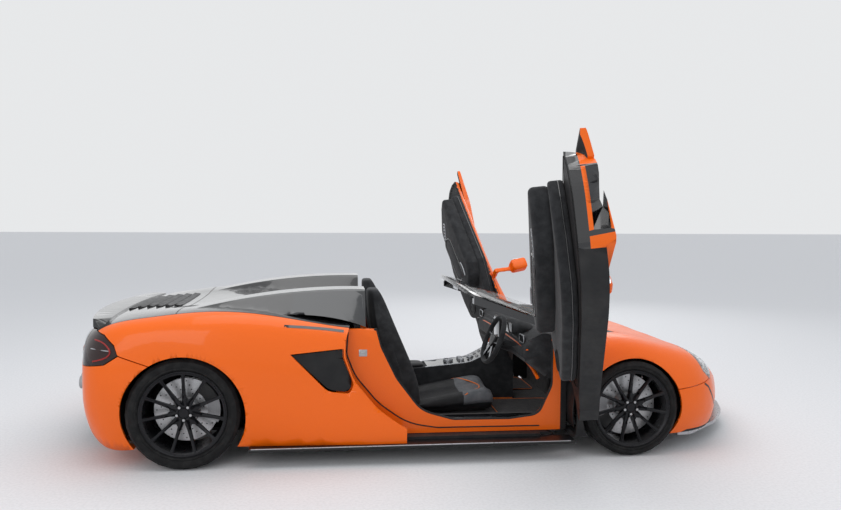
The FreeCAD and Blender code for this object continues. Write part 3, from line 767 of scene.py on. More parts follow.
@dataclass
class Panels:
    """The frame's own panels, carried over with merged points and smooth shading."""

    body_finishes: dict[str, object] = field(default_factory=lambda: {
        "front_wings": ORANGE, "front_bumper": ORANGE, "rear_wings": ORANGE, "rear_bumper": ORANGE,
        "door_jambs": ORANGE, "bonnet": ORANGE,
        "engine_deck": GLOSS_BLACK, "tonneau": GLOSS_BLACK,
        "windscreen_frame": GLOSS_BLACK, "scuttle": GRAINED_BLACK, "side_intakes": SATIN_BLACK,
        "side_skirts": SATIN_BLACK, "diffuser": SATIN_BLACK, "wheel_housings": GRAINED_BLACK,
        "splitter": SILVER, "undertray": COMPOSITE, "tub": CARPET, "dashboard": SUEDE, "console": SUEDE,
        "windscreen": PANE, "engine": CAST_ALLOY, "suspension": CAST_ALLOY, "rear_uprights": CAST_ALLOY,
        "knuckle_left": CAST_ALLOY, "knuckle_right": CAST_ALLOY,
    })
    smooth_angle: float = 28.0
    jamb_front: float = 2.285
    pocket_front: float = 2.430
    pocket_top: float = 0.620
    quarter_rear: float = 0.620
    quarter_foot: float = 0.840

    def build(self) -> None:
        """Carries over every node that no other class stands for."""
        for node, finish in self.body_finishes.items():
            self.carry(node, finish)
        self.recolour("door_jambs", GRAINED_BLACK, self.jamb_front, 0.0,
                      lambda p, n: p.x > along(self.jamb_front))
        self.recolour("front_wings", GRAINED_BLACK, self.pocket_front, self.pocket_top,
                      lambda p, n: p.x < along(self.pocket_front) and p.z < self.pocket_top)
        self.recolour("tonneau", SCREEN, self.quarter_rear, self.quarter_foot,
                      lambda p, n: p.x > along(self.quarter_rear) and p.z > self.quarter_foot
                      and abs(n.y) > 0.55 and abs(p.y) > 0.60)

    def recolour(self, node: str, finish: Finish, x: float, z: float,
                 test: Callable[[Vector, Vector], bool]) -> None:
        """Gives a carried panel a second finish where a test passes, its borders cut straight.

        Args:
            node: The panel's node.
            finish: The second finish.
            x: The upright border, ahead of the rear axle.
            z: The level border's height.
            test: Takes a face's centre and its normal.
        """
        piece = bpy.data.objects[f"{node}_dressed"]
        for point, way in (((along(x), 0.0, 0.0), (1.0, 0.0, 0.0)), ((0.0, 0.0, z), (0.0, 0.0, 1.0))):
            with Bench.editing(piece):
                bpy.ops.mesh.bisect(plane_co=point, plane_no=way)
        piece.data.materials.append(FINISHES.of(finish))
        for face in piece.data.polygons:
            if test(face.center, face.normal):
                face.material_index = 1

    def carry(self, node: str, finish: Finish) -> Piece:
        """Makes a smooth copy of one node and dresses it.

        Args:
            node: The node's name.
            finish: Its finish.

        Returns:
            The dressed copy.
        """
        source = frame["nodes"][node]
        piece = bpy.data.objects.new(f"{node}_dressed", source.data.copy())
        bpy.context.scene.collection.objects.link(piece)
        with Bench.editing(piece):
            bpy.ops.mesh.remove_doubles(threshold=2e-5)
        Bench.smooth(piece, self.smooth_angle)
        Bench.modify(piece, "WEIGHTED_NORMAL", keep_sharp=True, weight=80)
        return finished(piece, finish, source["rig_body"], node)


@dataclass
class Studio:
    """Pale floor, soft lights and the camera at the photograph's angle."""

    camera_place: Point = (-0.635, -5.058, 1.470)
    heading: float = 6.05
    downward: float = 3.06
    roll: float = 0.31
    focal_pixels: float = 708.3
    centre_pixels: float = 403.6
    picture_width: float = 841.0
    film_width: float = 36.0
    floor_size: float = 120.0
    floor_colour: Colour = (0.76, 0.76, 0.765)
    backdrop: Colour = (0.80, 0.81, 0.82)
    daylight: Colour = (0.92, 0.95, 1.0)
    daylight_strength: float = 0.80
    lamps: tuple = (("overhead", (0.0, -0.6, 5.2), 5.0, 120.0), ("near_side", (-3.5, -6.5, 3.4), 3.2, 70.0),
                    ("far_side", (3.0, 6.0, 3.8), 3.6, 55.0))
    """Each lamp's name, place, side length and power."""

    def build(self) -> None:
        """Builds the whole studio."""
        self.lay_floor()
        self.fill_world()
        self.hang_lamps()
        self.place_camera()

    def lay_floor(self) -> None:
        """Lays the pale floor just under the tyres."""
        Bench.clear()
        bpy.ops.mesh.primitive_plane_add(size=self.floor_size, location=(0.0, 0.0, -0.0005))
        floor = bpy.context.object
        floor.name = "studio_floor"
        Bench.settle(floor)
        recipe = Recipe("studio_floor", self.floor_colour, 0.85)
        darker = tuple(channel * 0.93 for channel in self.floor_colour)
        recipe.coloured(recipe.tinted(recipe.noise(60.0, 6.0), darker, self.floor_colour, 0.35, 0.6))
        recipe.bumped(recipe.noise(110.0, 4.0), 0.25, 0.002)
        floor.data.materials.append(recipe.material)

    def fill_world(self) -> None:
        """Fills the room with even light, and shows the pale backdrop to the camera and in reflections."""
        world = bpy.data.worlds.new("studio")
        bpy.context.scene.world = world
        world.use_nodes = True
        tree = world.node_tree
        tree.nodes.clear()
        ambient = tree.nodes.new("ShaderNodeBackground")
        ambient.inputs["Color"].default_value = (*self.daylight, 1.0)
        ambient.inputs["Strength"].default_value = self.daylight_strength
        seen = tree.nodes.new("ShaderNodeBackground")
        seen.inputs["Color"].default_value = (*self.backdrop, 1.0)
        paths = tree.nodes.new("ShaderNodeLightPath")
        shown = paths.outputs["Is Camera Ray"]
        for ray in ("Is Glossy Ray", "Is Transmission Ray"):
            either = tree.nodes.new("ShaderNodeMath")
            either.operation = "MAXIMUM"
            tree.links.new(shown, either.inputs[0])
            tree.links.new(paths.outputs[ray], either.inputs[1])
            shown = either.outputs[0]
        mix = tree.nodes.new("ShaderNodeMixShader")
        tree.links.new(shown, mix.inputs["Fac"])
        tree.links.new(ambient.outputs[0], mix.inputs[1])
        tree.links.new(seen.outputs[0], mix.inputs[2])
        output = tree.nodes.new("ShaderNodeOutputWorld")
        tree.links.new(mix.outputs[0], output.inputs["Surface"])

    def hang_lamps(self) -> None:
        """Hangs soft lamps above and on both sides."""
        for name, place, size, power in self.lamps:
            lamp = bpy.data.lights.new(name, "AREA")
            lamp.shape = "SQUARE"
            lamp.size = size
            lamp.energy = power
            holder = bpy.data.objects.new(name, lamp)
            holder.location = place
            aim = Vector((0.0, 0.0, 0.4)) - Vector(place)
            holder.rotation_euler = aim.to_track_quat("-Z", "Y").to_euler()
            bpy.context.scene.collection.objects.link(holder)
        bpy.context.scene.view_settings.view_transform = "Standard"

    def place_camera(self) -> None:
        """Sets the camera where the photograph was taken from."""
        turn, dip, tilt = (math.radians(a) for a in (self.heading, self.downward, self.roll))
        level = Vector((math.sin(turn), math.cos(turn), 0.0))
        right = Vector((math.cos(turn), -math.sin(turn), 0.0))
        up = Vector((0.0, 0.0, 1.0))
        ahead = level * math.cos(dip) - up * math.sin(dip)
        raised = up * math.cos(dip) + level * math.sin(dip)
        side = right * math.cos(tilt) + raised * math.sin(tilt)
        top = raised * math.cos(tilt) - right * math.sin(tilt)
        data = bpy.data.cameras.new("photo_camera")
        data.sensor_width = self.film_width
        data.lens = self.focal_pixels / self.picture_width * self.film_width
        data.shift_x = (self.picture_width / 2 - self.centre_pixels) / self.picture_width
        data.clip_end = 500.0
        camera = bpy.data.objects.new("photo_camera", data)
        camera.matrix_world = Matrix((
            (side.x, top.x, -ahead.x, self.camera_place[0]),
            (side.y, top.y, -ahead.y, self.camera_place[1]),
            (side.z, top.z, -ahead.z, self.camera_place[2]),
            (0.0, 0.0, 0.0, 1.0),
        ))
        bpy.context.scene.collection.objects.link(camera)
        bpy.context.scene.camera = camera


def rounded(corners: Sequence[Point], steps: int = 6) -> list[Pair]:
    """Rounds an outline's corners with arcs.

    Args:
        corners: Each corner as u, v and its radius, in metres.
        steps: How many steps each arc has.

    Returns:
        The outline's points in order.
    """
    points = []
    count = len(corners)
    for index, (u, v, radius) in enumerate(corners):
        here = Vector((u, v))
        back = (Vector(corners[index - 1][:2]) - here).normalized()
        ahead = (Vector(corners[(index + 1) % count][:2]) - here).normalized()
        half = back.angle(ahead) / 2
        if radius <= 0 or half > math.pi / 2 - 1e-3:
            points.append((u, v))
            continue
        reach = radius / math.tan(half)
        centre = here + (back + ahead).normalized() * (radius / math.sin(half))
        start = here + back * reach - centre
        sweep = start.angle_signed(here + ahead * reach - centre)
        for step in range(steps + 1):
            turned = start.copy()
            turned.rotate(Matrix.Rotation(-sweep * step / steps, 2))
            points.append(tuple(centre + turned))
    return points


@dataclass
class DoorGeometry:
    """Where a door hangs, and how far it stands open at rest."""

    side: Side
    hinge: Point = (2.335, 0.834, 0.680)
    axis: Point = (-0.436, 0.431, 0.790)
    opening: float = 88.5

    @property
    def body(self) -> str:
        """The body that the door's pieces ride on."""
        return f"{self.side.word}_door"

    def opened(self) -> Matrix:
        """The move from the shut door to the open one."""
        sign = self.side.value
        point = Vector((along(self.hinge[0]), sign * self.hinge[1], self.hinge[2]))
        axis = Vector((self.axis[0], -sign * self.axis[1], self.axis[2]))
        turn = Matrix.Rotation(math.radians(-sign * self.opening), 4, axis)
        return Matrix.Translation(point) @ turn @ Matrix.Translation(-point)

    def place(self, x: float, y: float, z: float) -> Vector:
        """A point of the shut door, y measured outward from the car's middle."""
        return Vector((along(x), self.side.value * y, z))

    def panel(self, name: str, corners: Sequence[Point], outer: float, inner: float, bevel: float,
              segments: int = 4) -> Piece:
        """A rounded panel of the shut door, moved to where the open door has it.

        Args:
            name: The panel's name.
            corners: Its outline along the door: x, z and corner radius.
            outer: Its face away from the cabin, as a distance from the car's middle.
            inner: Its face towards the cabin.
            bevel: The rounding of its edges.
            segments: How many steps the rounding has.

        Returns:
            The panel.
        """
        line = [self.place(x, outer, z) for x, z in rounded(corners)]
        thickness = Vector((0.0, self.side.value * (inner - outer), 0.0))
        piece = Bench.plate(name, line, thickness, bevel, segments)
        return Bench.moved(piece, self.opened())

    def bead(self, name: str, corners: Sequence[Point], y: float, radius: float,
             sides: int = 8) -> Piece:
        """A round bead along an outline of the shut door, moved to the open door.

        Args:
            name: The bead's name.
            corners: Its outline along the door: x, z and corner radius.
            y: Its distance from the car's middle.
            radius: The bead's own radius.
            sides: How many sides it has.

        Returns:
            The bead.
        """
        line = [tuple(self.place(x, y, z)) for x, z in rounded(corners, 4)]
        piece = Bench.rod(name, line, radius, sides, closed=True, order=2)
        return Bench.moved(piece, self.opened())


TRIM_FACE = ((1.127, 0.810, 0.02), (1.164, 0.689, 0.15), (1.259, 0.494, 0.22), (1.414, 0.289, 0.18),
             (1.614, 0.229, 0.12), (1.946, 0.226, 0.12), (2.136, 0.249, 0.09), (2.221, 0.434, 0.12),
             (2.221, 0.690, 0.04), (1.860, 0.810, 0.05))
"""Outline of the door's inner face: x, z and corner radius."""
TRIM_REST = ((1.140, 0.808, 0.03), (1.185, 0.700, 0.09), (1.335, 0.525, 0.12), (1.750, 0.460, 0.08),
             (2.008, 0.503, 0.06), (2.036, 0.640, 0.06), (1.985, 0.740, 0.06), (1.880, 0.800, 0.03))
"""Outline of the door's deep padded rest."""


@dataclass
class Doors:
    """Skins, trims and fittings of the two doors."""

    trim_outer_y: float = 0.789
    trim_inner_y: float = 0.7055
    rest_y: float = 0.6025
    scoop_low: Point = (0.90, 0.864, 0.340)
    scoop_high: Point = (1.20, 0.950, 0.645)
    scoop_floor_y: float = 0.890
    blade_y: float = 0.846
    sill_z: float = 0.300
    blade_end_x: float = 1.480
    plate_at: Pair = (1.34, 0.640)
    plate_lean: float = -40.0
    plate_half: float = 0.022
    ring_pitch: float = 0.028
    speaker_at: Pair = (2.085, 0.375)
    seal_y: float = 0.787

    @property
    def seams(self) -> tuple:
        """Cuts that keep the finishes' borders straight: a point of the shut door and the cut's normal."""
        return (((0.0, self.blade_y, 0.0), (0.0, 1.0, 0.0)), ((0.0, 0.0, self.sill_z), (0.0, 0.0, 1.0)),
                ((self.blade_end_x, 0.0, 0.0), (1.0, 0.0, 0.0)))

    def build(self) -> None:
        """Builds both doors."""
        for side in Side:
            door = DoorGeometry(side)
            self.colour_skin(door)
            self.line_inside(door)
            self.fit_plate(door)
            self.fit_pulls(door)
            self.fit_seals(door)

    def colour_skin(self, door: DoorGeometry) -> None:
        """Carries the skin over, painted outside and bare where it shuts.

        Args:
            door: The door.
        """
        word = door.side.word
        piece = Panels().carry(f"door_{word}", ORANGE)
        for point, way in self.seams:
            with Bench.editing(piece):
                bpy.ops.mesh.bisect(plane_co=tuple(door.opened() @ door.place(*point)),
                                    plane_no=tuple(door.opened().to_3x3() @ Vector(way)))
        for finish in (GLOSS_BLACK, COMPOSITE, GRAINED_BLACK):
            piece.data.materials.append(FINISHES.of(finish))
        shut = door.opened().inverted()
        turn = shut.to_3x3()
        for face in piece.data.polygons:
            centre = shut @ face.center
            normal = turn @ face.normal
            face.material_index = self.zone(centre.x - REAR_AXLE_X, abs(centre.y), centre.z,
                                            normal.x, normal.y * door.side.value, normal.z)

    def zone(self, x: float, y: float, z: float, ahead: float, outward: float, up: float) -> int:
        """Which finish a face of the shut door has.

        Args:
            x: Its centre ahead of the rear axle.
            y: Its centre from the car's middle.
            z: Its height.
            ahead: Its normal along X.
            outward: Its normal away from the car's middle.
            up: Its normal along Z.

        Returns:
            The index of its material slot.
        """
        low, high = self.scoop_low, self.scoop_high
        boxed = low[0] < x < high[0] and low[1] < y < high[1] - 0.001 and low[2] < z < high[2]
        if boxed and (outward < 0.55 or y < self.scoop_floor_y):
            return 1
        if outward < -0.6 or y < 0.80:
            return 3
        if outward > 0.55 and z > self.sill_z:
            return 0
        if x < self.blade_end_x and y > self.blade_y and z > self.sill_z:
            return 0
        if z > self.sill_z and ahead < -0.2:
            return 1
        return 2 if up < 0.2 else 0

    def line_inside(self, door: DoorGeometry) -> None:
        """Covers the door's inner side in suede, with a deep rounded rest.

        Args:
            door: The door.
        """
        word = door.side.word
        face = door.panel(f"door_lining_{word}", TRIM_FACE, self.trim_outer_y, self.trim_inner_y, 0.018)
        finished(face, SUEDE, door.body, f"door_trim_{word}")
        rest = door.panel(f"door_rest_{word}", TRIM_REST, self.trim_inner_y + 0.01, self.rest_y, 0.030, 5)
        finished(rest, SUEDE, door.body)
        hem = door.bead(f"door_lining_hem_{word}", tuple((x, z - 0.001, r) for x, z, r in TRIM_FACE),
                        self.trim_outer_y - 0.030, 0.0045, 6)
        finished(hem, GLOSS_BLACK, door.body)

    def fit_plate(self, door: DoorGeometry) -> None:
        """Sets a small silver plate with five dark rings in the rest's rear end.

        Args:
            door: The door.
        """
        word = door.side.word
        lean = math.radians(self.plate_lean)
        step = Vector((math.cos(lean), math.sin(lean)))
        across = Vector((-step.y, step.x))
        ends = [Vector(self.plate_at) + step * (self.ring_pitch * index) for index in range(5)]
        half = self.plate_half
        corners = [(*(end + step * (way * half) + across * (turn * half)), half * 0.99)
                   for end, way, turn in (
                       (ends[0], -1, 1), (ends[0], -1, -1), (ends[4], 1, -1), (ends[4], 1, 1))]
        plate = door.panel(f"door_plate_{word}", corners, self.rest_y + 0.002, self.rest_y - 0.0015, 0.001, 2)
        finished(plate, SILVER, door.body)
        rings = []
        for end in ends:
            Bench.clear()
            centre = door.place(end.x, self.rest_y - 0.0016, end.y)
            bpy.ops.mesh.primitive_torus_add(location=centre, rotation=(math.pi / 2, 0.0, 0.0),
                                             major_radius=0.0085, minor_radius=0.0028,
                                             major_segments=24, minor_segments=8)
            rings.append(Bench.settle(bpy.context.object))
        whole = Bench.moved(Bench.join(f"door_plate_rings_{word}", rings), door.opened())
        Bench.smooth(whole, 60)
        finished(whole, GLOSS_BLACK, door.body)

    def fit_pulls(self, door: DoorGeometry) -> None:
        """Adds the pull's gloss frame, the speaker and the release lever.

        Args:
            door: The door.
        """
        word = door.side.word
        pull = ((1.44, 0.560, 0.05), (1.50, 0.515, 0.05), (1.86, 0.520, 0.06), (1.93, 0.590, 0.05),
                (1.88, 0.655, 0.05), (1.50, 0.650, 0.05))
        frame_bead = door.bead(f"door_pull_frame_{word}", pull, self.rest_y, 0.006)
        finished(frame_bead, GLOSS_BLACK, door.body)
        pad = tuple((1.68 + (x - 1.68) * 0.9, 0.585 + (z - 0.585) * 0.8, r * 0.8) for x, z, r in pull)
        inner = door.panel(f"door_pull_pad_{word}", pad, self.rest_y + 0.004, self.rest_y - 0.002, 0.002, 2)
        finished(inner, LEATHER, door.body)
        lever = [tuple(door.place(x, self.rest_y - 0.006, z)) for x, z in
                 ((1.80, 0.690), (1.84, 0.702), (1.90, 0.700), (1.935, 0.688))]
        handle = Bench.moved(Bench.rod(f"door_release_{word}", lever, 0.006, 10), door.opened())
        finished(handle, SILVER, door.body)
        x0, z0 = self.speaker_at
        speaker = Bench.spun(f"door_speaker_{word}", [
            tuple(door.place(x0 + r, self.trim_inner_y - h, z0)) for r, h in
            ((0.001, 0.004), (0.020, 0.009), (0.040, 0.006), (0.050, 0.0025), (0.055, 0.008), (0.061, 0.008),
             (0.066, -0.002), (0.001, -0.002))],
            tuple(door.place(x0, self.trim_inner_y, z0)), (0.0, 1.0, 0.0), 40)
        finished(Bench.moved(speaker, door.opened()), GRAINED_BLACK, door.body)

    def fit_seals(self, door: DoorGeometry) -> None:
        """Runs a rubber seal round the door's shut face.

        Args:
            door: The door.
        """
        word = door.side.word
        line = ((0.975, 0.795, 0.02), (0.968, 0.660, 0.11), (1.015, 0.520, 0.28), (1.155, 0.350, 0.38),
                (1.330, 0.228, 0.30), (1.510, 0.196, 0.20), (2.120, 0.192, 0.12), (2.205, 0.300, 0.10),
                (2.235, 0.560, 0.10), (2.235, 0.790, 0.02))
        seal = door.bead(f"door_seal_{word}", line, self.seal_y, 0.0020)
        finished(seal, SEAL_RUBBER, door.body)


@dataclass
class Apertures:
    """Seals, strikers and treads around the two door openings."""

    inner_line: tuple = (
        (1.119, 0.790, 0.0), (1.150, 0.675, 0.15), (1.245, 0.480, 0.25), (1.400, 0.275, 0.20),
        (1.600, 0.215, 0.12), (1.960, 0.212, 0.12), (2.150, 0.235, 0.09), (2.235, 0.420, 0.12),
        (2.235, 0.700, 0.0))
    """The opening's inner edge: x, z and corner radius."""
    ledge_line: tuple = (
        (0.952, 0.770, 0.0), (0.943, 0.640, 0.11), (0.995, 0.505, 0.29), (1.138, 0.333, 0.39),
        (1.316, 0.204, 0.39), (1.500, 0.172, 0.29), (2.150, 0.168, 0.0))
    """The edge of the ledge that the door shuts against: x, z and corner radius."""
    inner_y: float = 0.7725
    ledge_y: float = 0.7855
    tread_z: float = 0.2055

    def build(self) -> None:
        """Dresses both openings."""
        for side in Side:
            self.run_seals(side)
            self.fit_striker(side)
            self.lay_tread(side)

    def run_seals(self, side: Side) -> None:
        """Runs the fat inner seal and the thin outer one.

        Args:
            side: The opening's side.
        """
        for name, corners, y, radius, steps, sides in (
                ("aperture_seal", self.inner_line, self.inner_y, 0.0105, 8, 12),
                ("aperture_outer_seal", self.ledge_line, self.ledge_y, 0.004, 5, 8)):
            line = [(along(x), side.value * y, z) for x, z in rounded(corners, steps)]
            finished(Bench.rod(f"{name}_{side.word}", line, radius, sides, order=2), SEAL_RUBBER, "car")

    def fit_striker(self, side: Side) -> None:
        """Fits the striker's loop and its plate on the rear jamb.

        Args:
            side: The opening's side.
        """
        loop = [(along(x), side.value * y, z) for x, y, z in (
            (1.030, 0.782, 0.646), (1.030, 0.787, 0.646), (1.056, 0.787, 0.640), (1.056, 0.782, 0.640))]
        finished(Bench.rod(f"striker_{side.word}", loop, 0.003, 10, order=2), DISC_IRON, "car")
        near, far = sorted((side.value * 0.7835, side.value * self.ledge_y))
        base = Bench.block(f"striker_plate_{side.word}", (along(1.018), near, 0.622),
                           (along(1.068), far, 0.664), 0.0008, 2)
        finished(base, DISC_IRON, "car")

    def lay_tread(self, side: Side) -> None:
        """Lays the gloss tread on the sill.

        Args:
            side: The opening's side.
        """
        tread = [Vector((along(x), side.value * y, self.tread_z)) for x, y in
                 ((1.42, 0.640), (2.14, 0.640), (2.12, 0.735), (1.46, 0.735))]
        plate = Bench.plate(f"sill_tread_{side.word}", tread, Vector((0.0, 0.0, 0.004)), 0.0015, 2)
        finished(plate, GLOSS_BLACK, "car")


@dataclass
class Wheel:
    """One axle's wheels: tyre, rim, disc and caliper, modelled once and set on both sides."""

    place: str
    axle_x: float
    tyre_radius: float
    rim_radius: float
    face: float
    width: float
    disc_radius: float
    caliper_turn: float
    caliper_sweep: float = 40.0
    spokes: int = 11
    hub_radius: float = 0.052

    @property
    def centre(self) -> Vector:
        """The middle of the axle line."""
        return Vector((along(self.axle_x), 0.0, self.tyre_radius))

    def at(self, y: float, radius: float, degrees: float = 0.0) -> Point:
        """A point of the left wheel.

        Args:
            y: Its distance from the car's middle.
            radius: Its distance from the axle.
            degrees: Its turn about the axle, from straight up towards the nose.

        Returns:
            The point.
        """
        angle = math.radians(degrees)
        middle = self.centre
        return (middle.x + radius * math.sin(angle), y, middle.z + radius * math.cos(angle))

    def ring(self, name: str, profile: Sequence[Pair], steps: int) -> Piece:
        """Spins an outline of (y, radius) about the axle."""
        points = [self.at(y, r) for y, r in profile]
        return Bench.spun(name, points, tuple(self.centre), (0.0, 1.0, 0.0), steps)

    def turned(self, piece: Piece, degrees: float) -> Piece:
        """Turns a piece about the axle."""
        turn = Matrix.Translation(self.centre) @ Matrix.Rotation(math.radians(degrees), 4, "Y")
        return Bench.moved(piece, turn @ Matrix.Translation(-self.centre))

    def build(self) -> None:
        """Builds the left wheel and mirrors it to the right."""
        # The last entry lays dark dots of painted shade on each disc where its drilled holes are.
        makers = ((self.tyre, RUBBER, "tyre", True), (self.rim, RIM_BLACK, "rim", True),
                  (self.bolts, DISC_IRON, "bolts", False), (self.disc, DISC_IRON, "disc", True),
                  (self.holes, SATIN_BLACK, "disc_holes", False))
        for maker, finish, kind, is_node in makers:
            left = maker(f"{kind}_{self.place}_left_dressed")
            right = Bench.mirrored(left, f"{kind}_{self.place}_right_dressed")
            for piece, side in ((left, "left"), (right, "right")):
                nodes = (f"{kind}_{self.place}_{side}",) if is_node else ()
                finished(piece, finish, f"{self.place}_{side}_wheel", *nodes)
        left = self.caliper(f"caliper_{self.place}_left")
        right = Bench.mirrored(left, f"caliper_{self.place}_right")
        for piece, side in ((left, "left"), (right, "right")):
            body = "car" if self.place == "rear" else f"{side}_knuckle"
            finished(piece, CALIPER_BLACK, body)

    def tyre(self, name: str) -> Piece:
        """The tyre with four grooves round its tread and a rim guard.

        Args:
            name: The piece's name.

        Returns:
            The piece.
        """
        out, bead, top = self.face + 0.005, self.rim_radius + 0.0005, self.tyre_radius
        inside, middle = out - self.width, out - self.width / 2
        profile = [(inside + 0.012, bead), (inside + 0.001, bead + 0.022), (inside + 0.003, top - 0.022),
                   (inside + 0.022, top - 0.0035)]
        for offset in (-0.058, -0.020, 0.020, 0.058):
            y = middle + offset * self.width / 0.265
            profile += [(y - 0.006, top - 0.001), (y - 0.0045, top - 0.007), (y + 0.0045, top - 0.007),
                        (y + 0.006, top - 0.001)]
        profile += [(out - 0.022, top - 0.0035), (out - 0.003, top - 0.022), (out - 0.0005, bead + 0.030),
                    (out - 0.0045, bead + 0.020), (out - 0.001, bead + 0.012), (out - 0.012, bead)]
        return self.ring(name, profile, 28)

    def rim(self, name: str) -> Piece:
        """The barrel, the hub and thin ridged spokes that meet in pairs near the hub.

        Args:
            name: The piece's name.

        Returns:
            The piece.
        """
        face, radius, barrel = self.face, self.rim_radius, self.rim_radius - 0.014
        inside = face + 0.005 - self.width
        parts = [self.ring("barrel", [
            (inside + 0.007, radius - 0.001), (inside + 0.016, radius - 0.001), (inside + 0.020, barrel),
            (face - 0.016, barrel), (face - 0.012, radius - 0.001), (face - 0.002, radius - 0.001),
            (face - 0.0005, radius - 0.003), (face - 0.0005, radius - 0.007), (face - 0.004, radius - 0.010),
            (face - 0.010, barrel - 0.008), (inside + 0.007, barrel - 0.008)], 96)]
        parts.append(self.ring("hub", [
            (face - 0.071, 0.0202), (face - 0.071, self.hub_radius), (face - 0.044, self.hub_radius),
            (face - 0.038, self.hub_radius - 0.005), (face - 0.037, 0.034), (face - 0.040, 0.031),
            (face - 0.040, 0.028), (face - 0.034, 0.026), (face - 0.033, 0.012), (face - 0.033, 0.0005),
            (face - 0.050, 0.0005), (face - 0.050, 0.0202)], 48))
        pitch = 360.0 / self.spokes
        for index in range(self.spokes):
            parts.append(self.spoke(index * pitch))
        for index in range(0, self.spokes - 1, 2):
            parts.append(self.web((index + 0.5) * pitch))
        whole = Bench.join(name, parts)
        Bench.smooth(whole, 35)
        return whole

    def spoke(self, degrees: float) -> Piece:
        """One spoke: a tapered blade whose front edge is a narrow ridge.

        Args:
            degrees: Its turn about the axle.

        Returns:
            The spoke.
        """
        stations = ((self.hub_radius - 0.008, 0.0150, 0.036, 0.064), (0.105, 0.0105, 0.032, 0.056),
                    (0.170, 0.0085, 0.022, 0.044), (self.rim_radius - 0.040, 0.0090, 0.012, 0.034),
                    (self.rim_radius - 0.016, 0.0130, 0.006, 0.034))
        rings = []
        for radius, half, front, back in stations:
            section = []
            for across_by, depth in ((-half, back), (-half, front + 0.006), (-half * 0.28, front),
                                     (half * 0.28, front), (half, front + 0.006), (half, back)):
                section.append(Vector(self.at(self.face - depth, radius)) + Vector((across_by, 0.0, 0.0)))
            rings.append(section)
        return self.turned(Bench.lofted("spoke", rings), degrees)

    def web(self, degrees: float) -> Piece:
        """The thin web between a pair of spokes near the hub.

        Args:
            degrees: Its turn about the axle.

        Returns:
            The web.
        """
        reach = math.radians(360.0 / self.spokes / 2)
        corners = []
        for radius, turn in ((self.hub_radius - 0.006, -reach), (self.hub_radius + 0.052, -reach * 0.92),
                             (self.hub_radius + 0.030, 0.0), (self.hub_radius + 0.052, reach * 0.92),
                             (self.hub_radius - 0.006, reach)):
            corners.append(Vector(self.at(self.face - 0.047, radius, math.degrees(turn))))
        return self.turned(Bench.plate("web", corners, Vector((0.0, -0.012, 0.0)), 0.0015, 1), degrees)

    def bolts(self, name: str) -> Piece:
        """Five hexagonal wheel bolts round the cap and a valve stem at the rim.

        Args:
            name: The piece's name.

        Returns:
            The piece.
        """
        parts = []
        for index in range(5):
            middle = self.at(self.face - 0.035, 0.041, index * 72.0 + 36.0)
            Bench.clear()
            bpy.ops.mesh.primitive_cylinder_add(vertices=6, radius=0.0088, depth=0.016, location=middle,
                                                rotation=(math.pi / 2, 0.0, 0.0))
            bolt = Bench.settle(bpy.context.object)
            Bench.modify(bolt, "BEVEL", width=0.0015, segments=2)
            parts.append(bolt)
        root = Vector(self.at(self.face - 0.022, self.rim_radius - 0.026, 16.0))
        tip = Vector(self.at(self.face - 0.006, self.rim_radius - 0.040, 16.0))
        stem = [tuple(root), tuple((root + tip) / 2), tuple(tip)]
        parts.append(Bench.rod("valve", stem, 0.0035, 8, order=2))
        return Bench.join(name, parts)

    def disc(self, name: str) -> Piece:
        """The vented brake disc and its bell.

        Args:
            name: The piece's name.

        Returns:
            The piece.
        """
        low = self.face - 0.150
        high = low + 0.030
        radius = self.disc_radius
        return self.ring(name, [
            (low, 0.0202), (low, radius - 0.001), (low + 0.011, radius), (low + 0.012, radius - 0.006),
            (high - 0.012, radius - 0.006), (high - 0.011, radius), (high, radius - 0.001), (high, 0.082),
            (high + 0.004, 0.078), (self.face - 0.0725, 0.073), (self.face - 0.0725, 0.0202)], 72)

    def holes(self, name: str) -> Piece:
        """Dark dots in the disc's outer face where its drilled holes are: painted shade of the holes.

        Args:
            name: The piece's name.

        Returns:
            The piece.
        """
        face, radius = self.face - 0.1198, self.disc_radius
        pins = []
        for reach, lead in ((0.018, 0.0), (0.042, 7.0), (0.066, 14.0), (0.088, 21.0)):
            for index in range(12):
                middle = self.at(face, radius - reach, index * 30.0 + lead)
                Bench.clear()
                bpy.ops.mesh.primitive_circle_add(vertices=10, radius=0.0042, fill_type="NGON",
                                                  location=middle, rotation=(-math.pi / 2, 0.0, 0.0))
                pins.append(Bench.settle(bpy.context.object))
        return Bench.join(name, pins)

    def caliper(self, name: str) -> Piece:
        """The black caliper over the disc's edge.

        Args:
            name: The piece's name.

        Returns:
            The piece.
        """
        low = self.face - 0.150
        reach = self.disc_radius
        begin = self.caliper_turn - self.caliper_sweep / 2
        start = [self.at(y, r, begin) for y, r in (
            (low - 0.0150, 0.140), (low - 0.0150, reach + 0.009), (low - 0.0105, reach + 0.0155),
            (low + 0.045, reach + 0.0155), (low + 0.0545, reach + 0.009), (low + 0.0545, 0.125),
            (low + 0.0360, 0.125), (low + 0.0360, reach + 0.0045), (low - 0.006, reach + 0.0045),
            (low - 0.006, 0.140))]
        piece = Bench.faced(name, [Vector(p) for p in start])
        with Bench.editing(piece):
            bpy.ops.mesh.spin(steps=12, angle=math.radians(self.caliper_sweep), center=tuple(self.centre),
                              axis=(0.0, 1.0, 0.0))
            bpy.ops.mesh.select_all(action="SELECT")
            bpy.ops.mesh.remove_doubles(threshold=1e-5)
            bpy.ops.mesh.normals_make_consistent(inside=False)
        Bench.modify(piece, "BEVEL", width=0.003, segments=2, limit_method="ANGLE",
                     angle_limit=math.radians(50))
        Bench.smooth(piece, 35)
        return piece


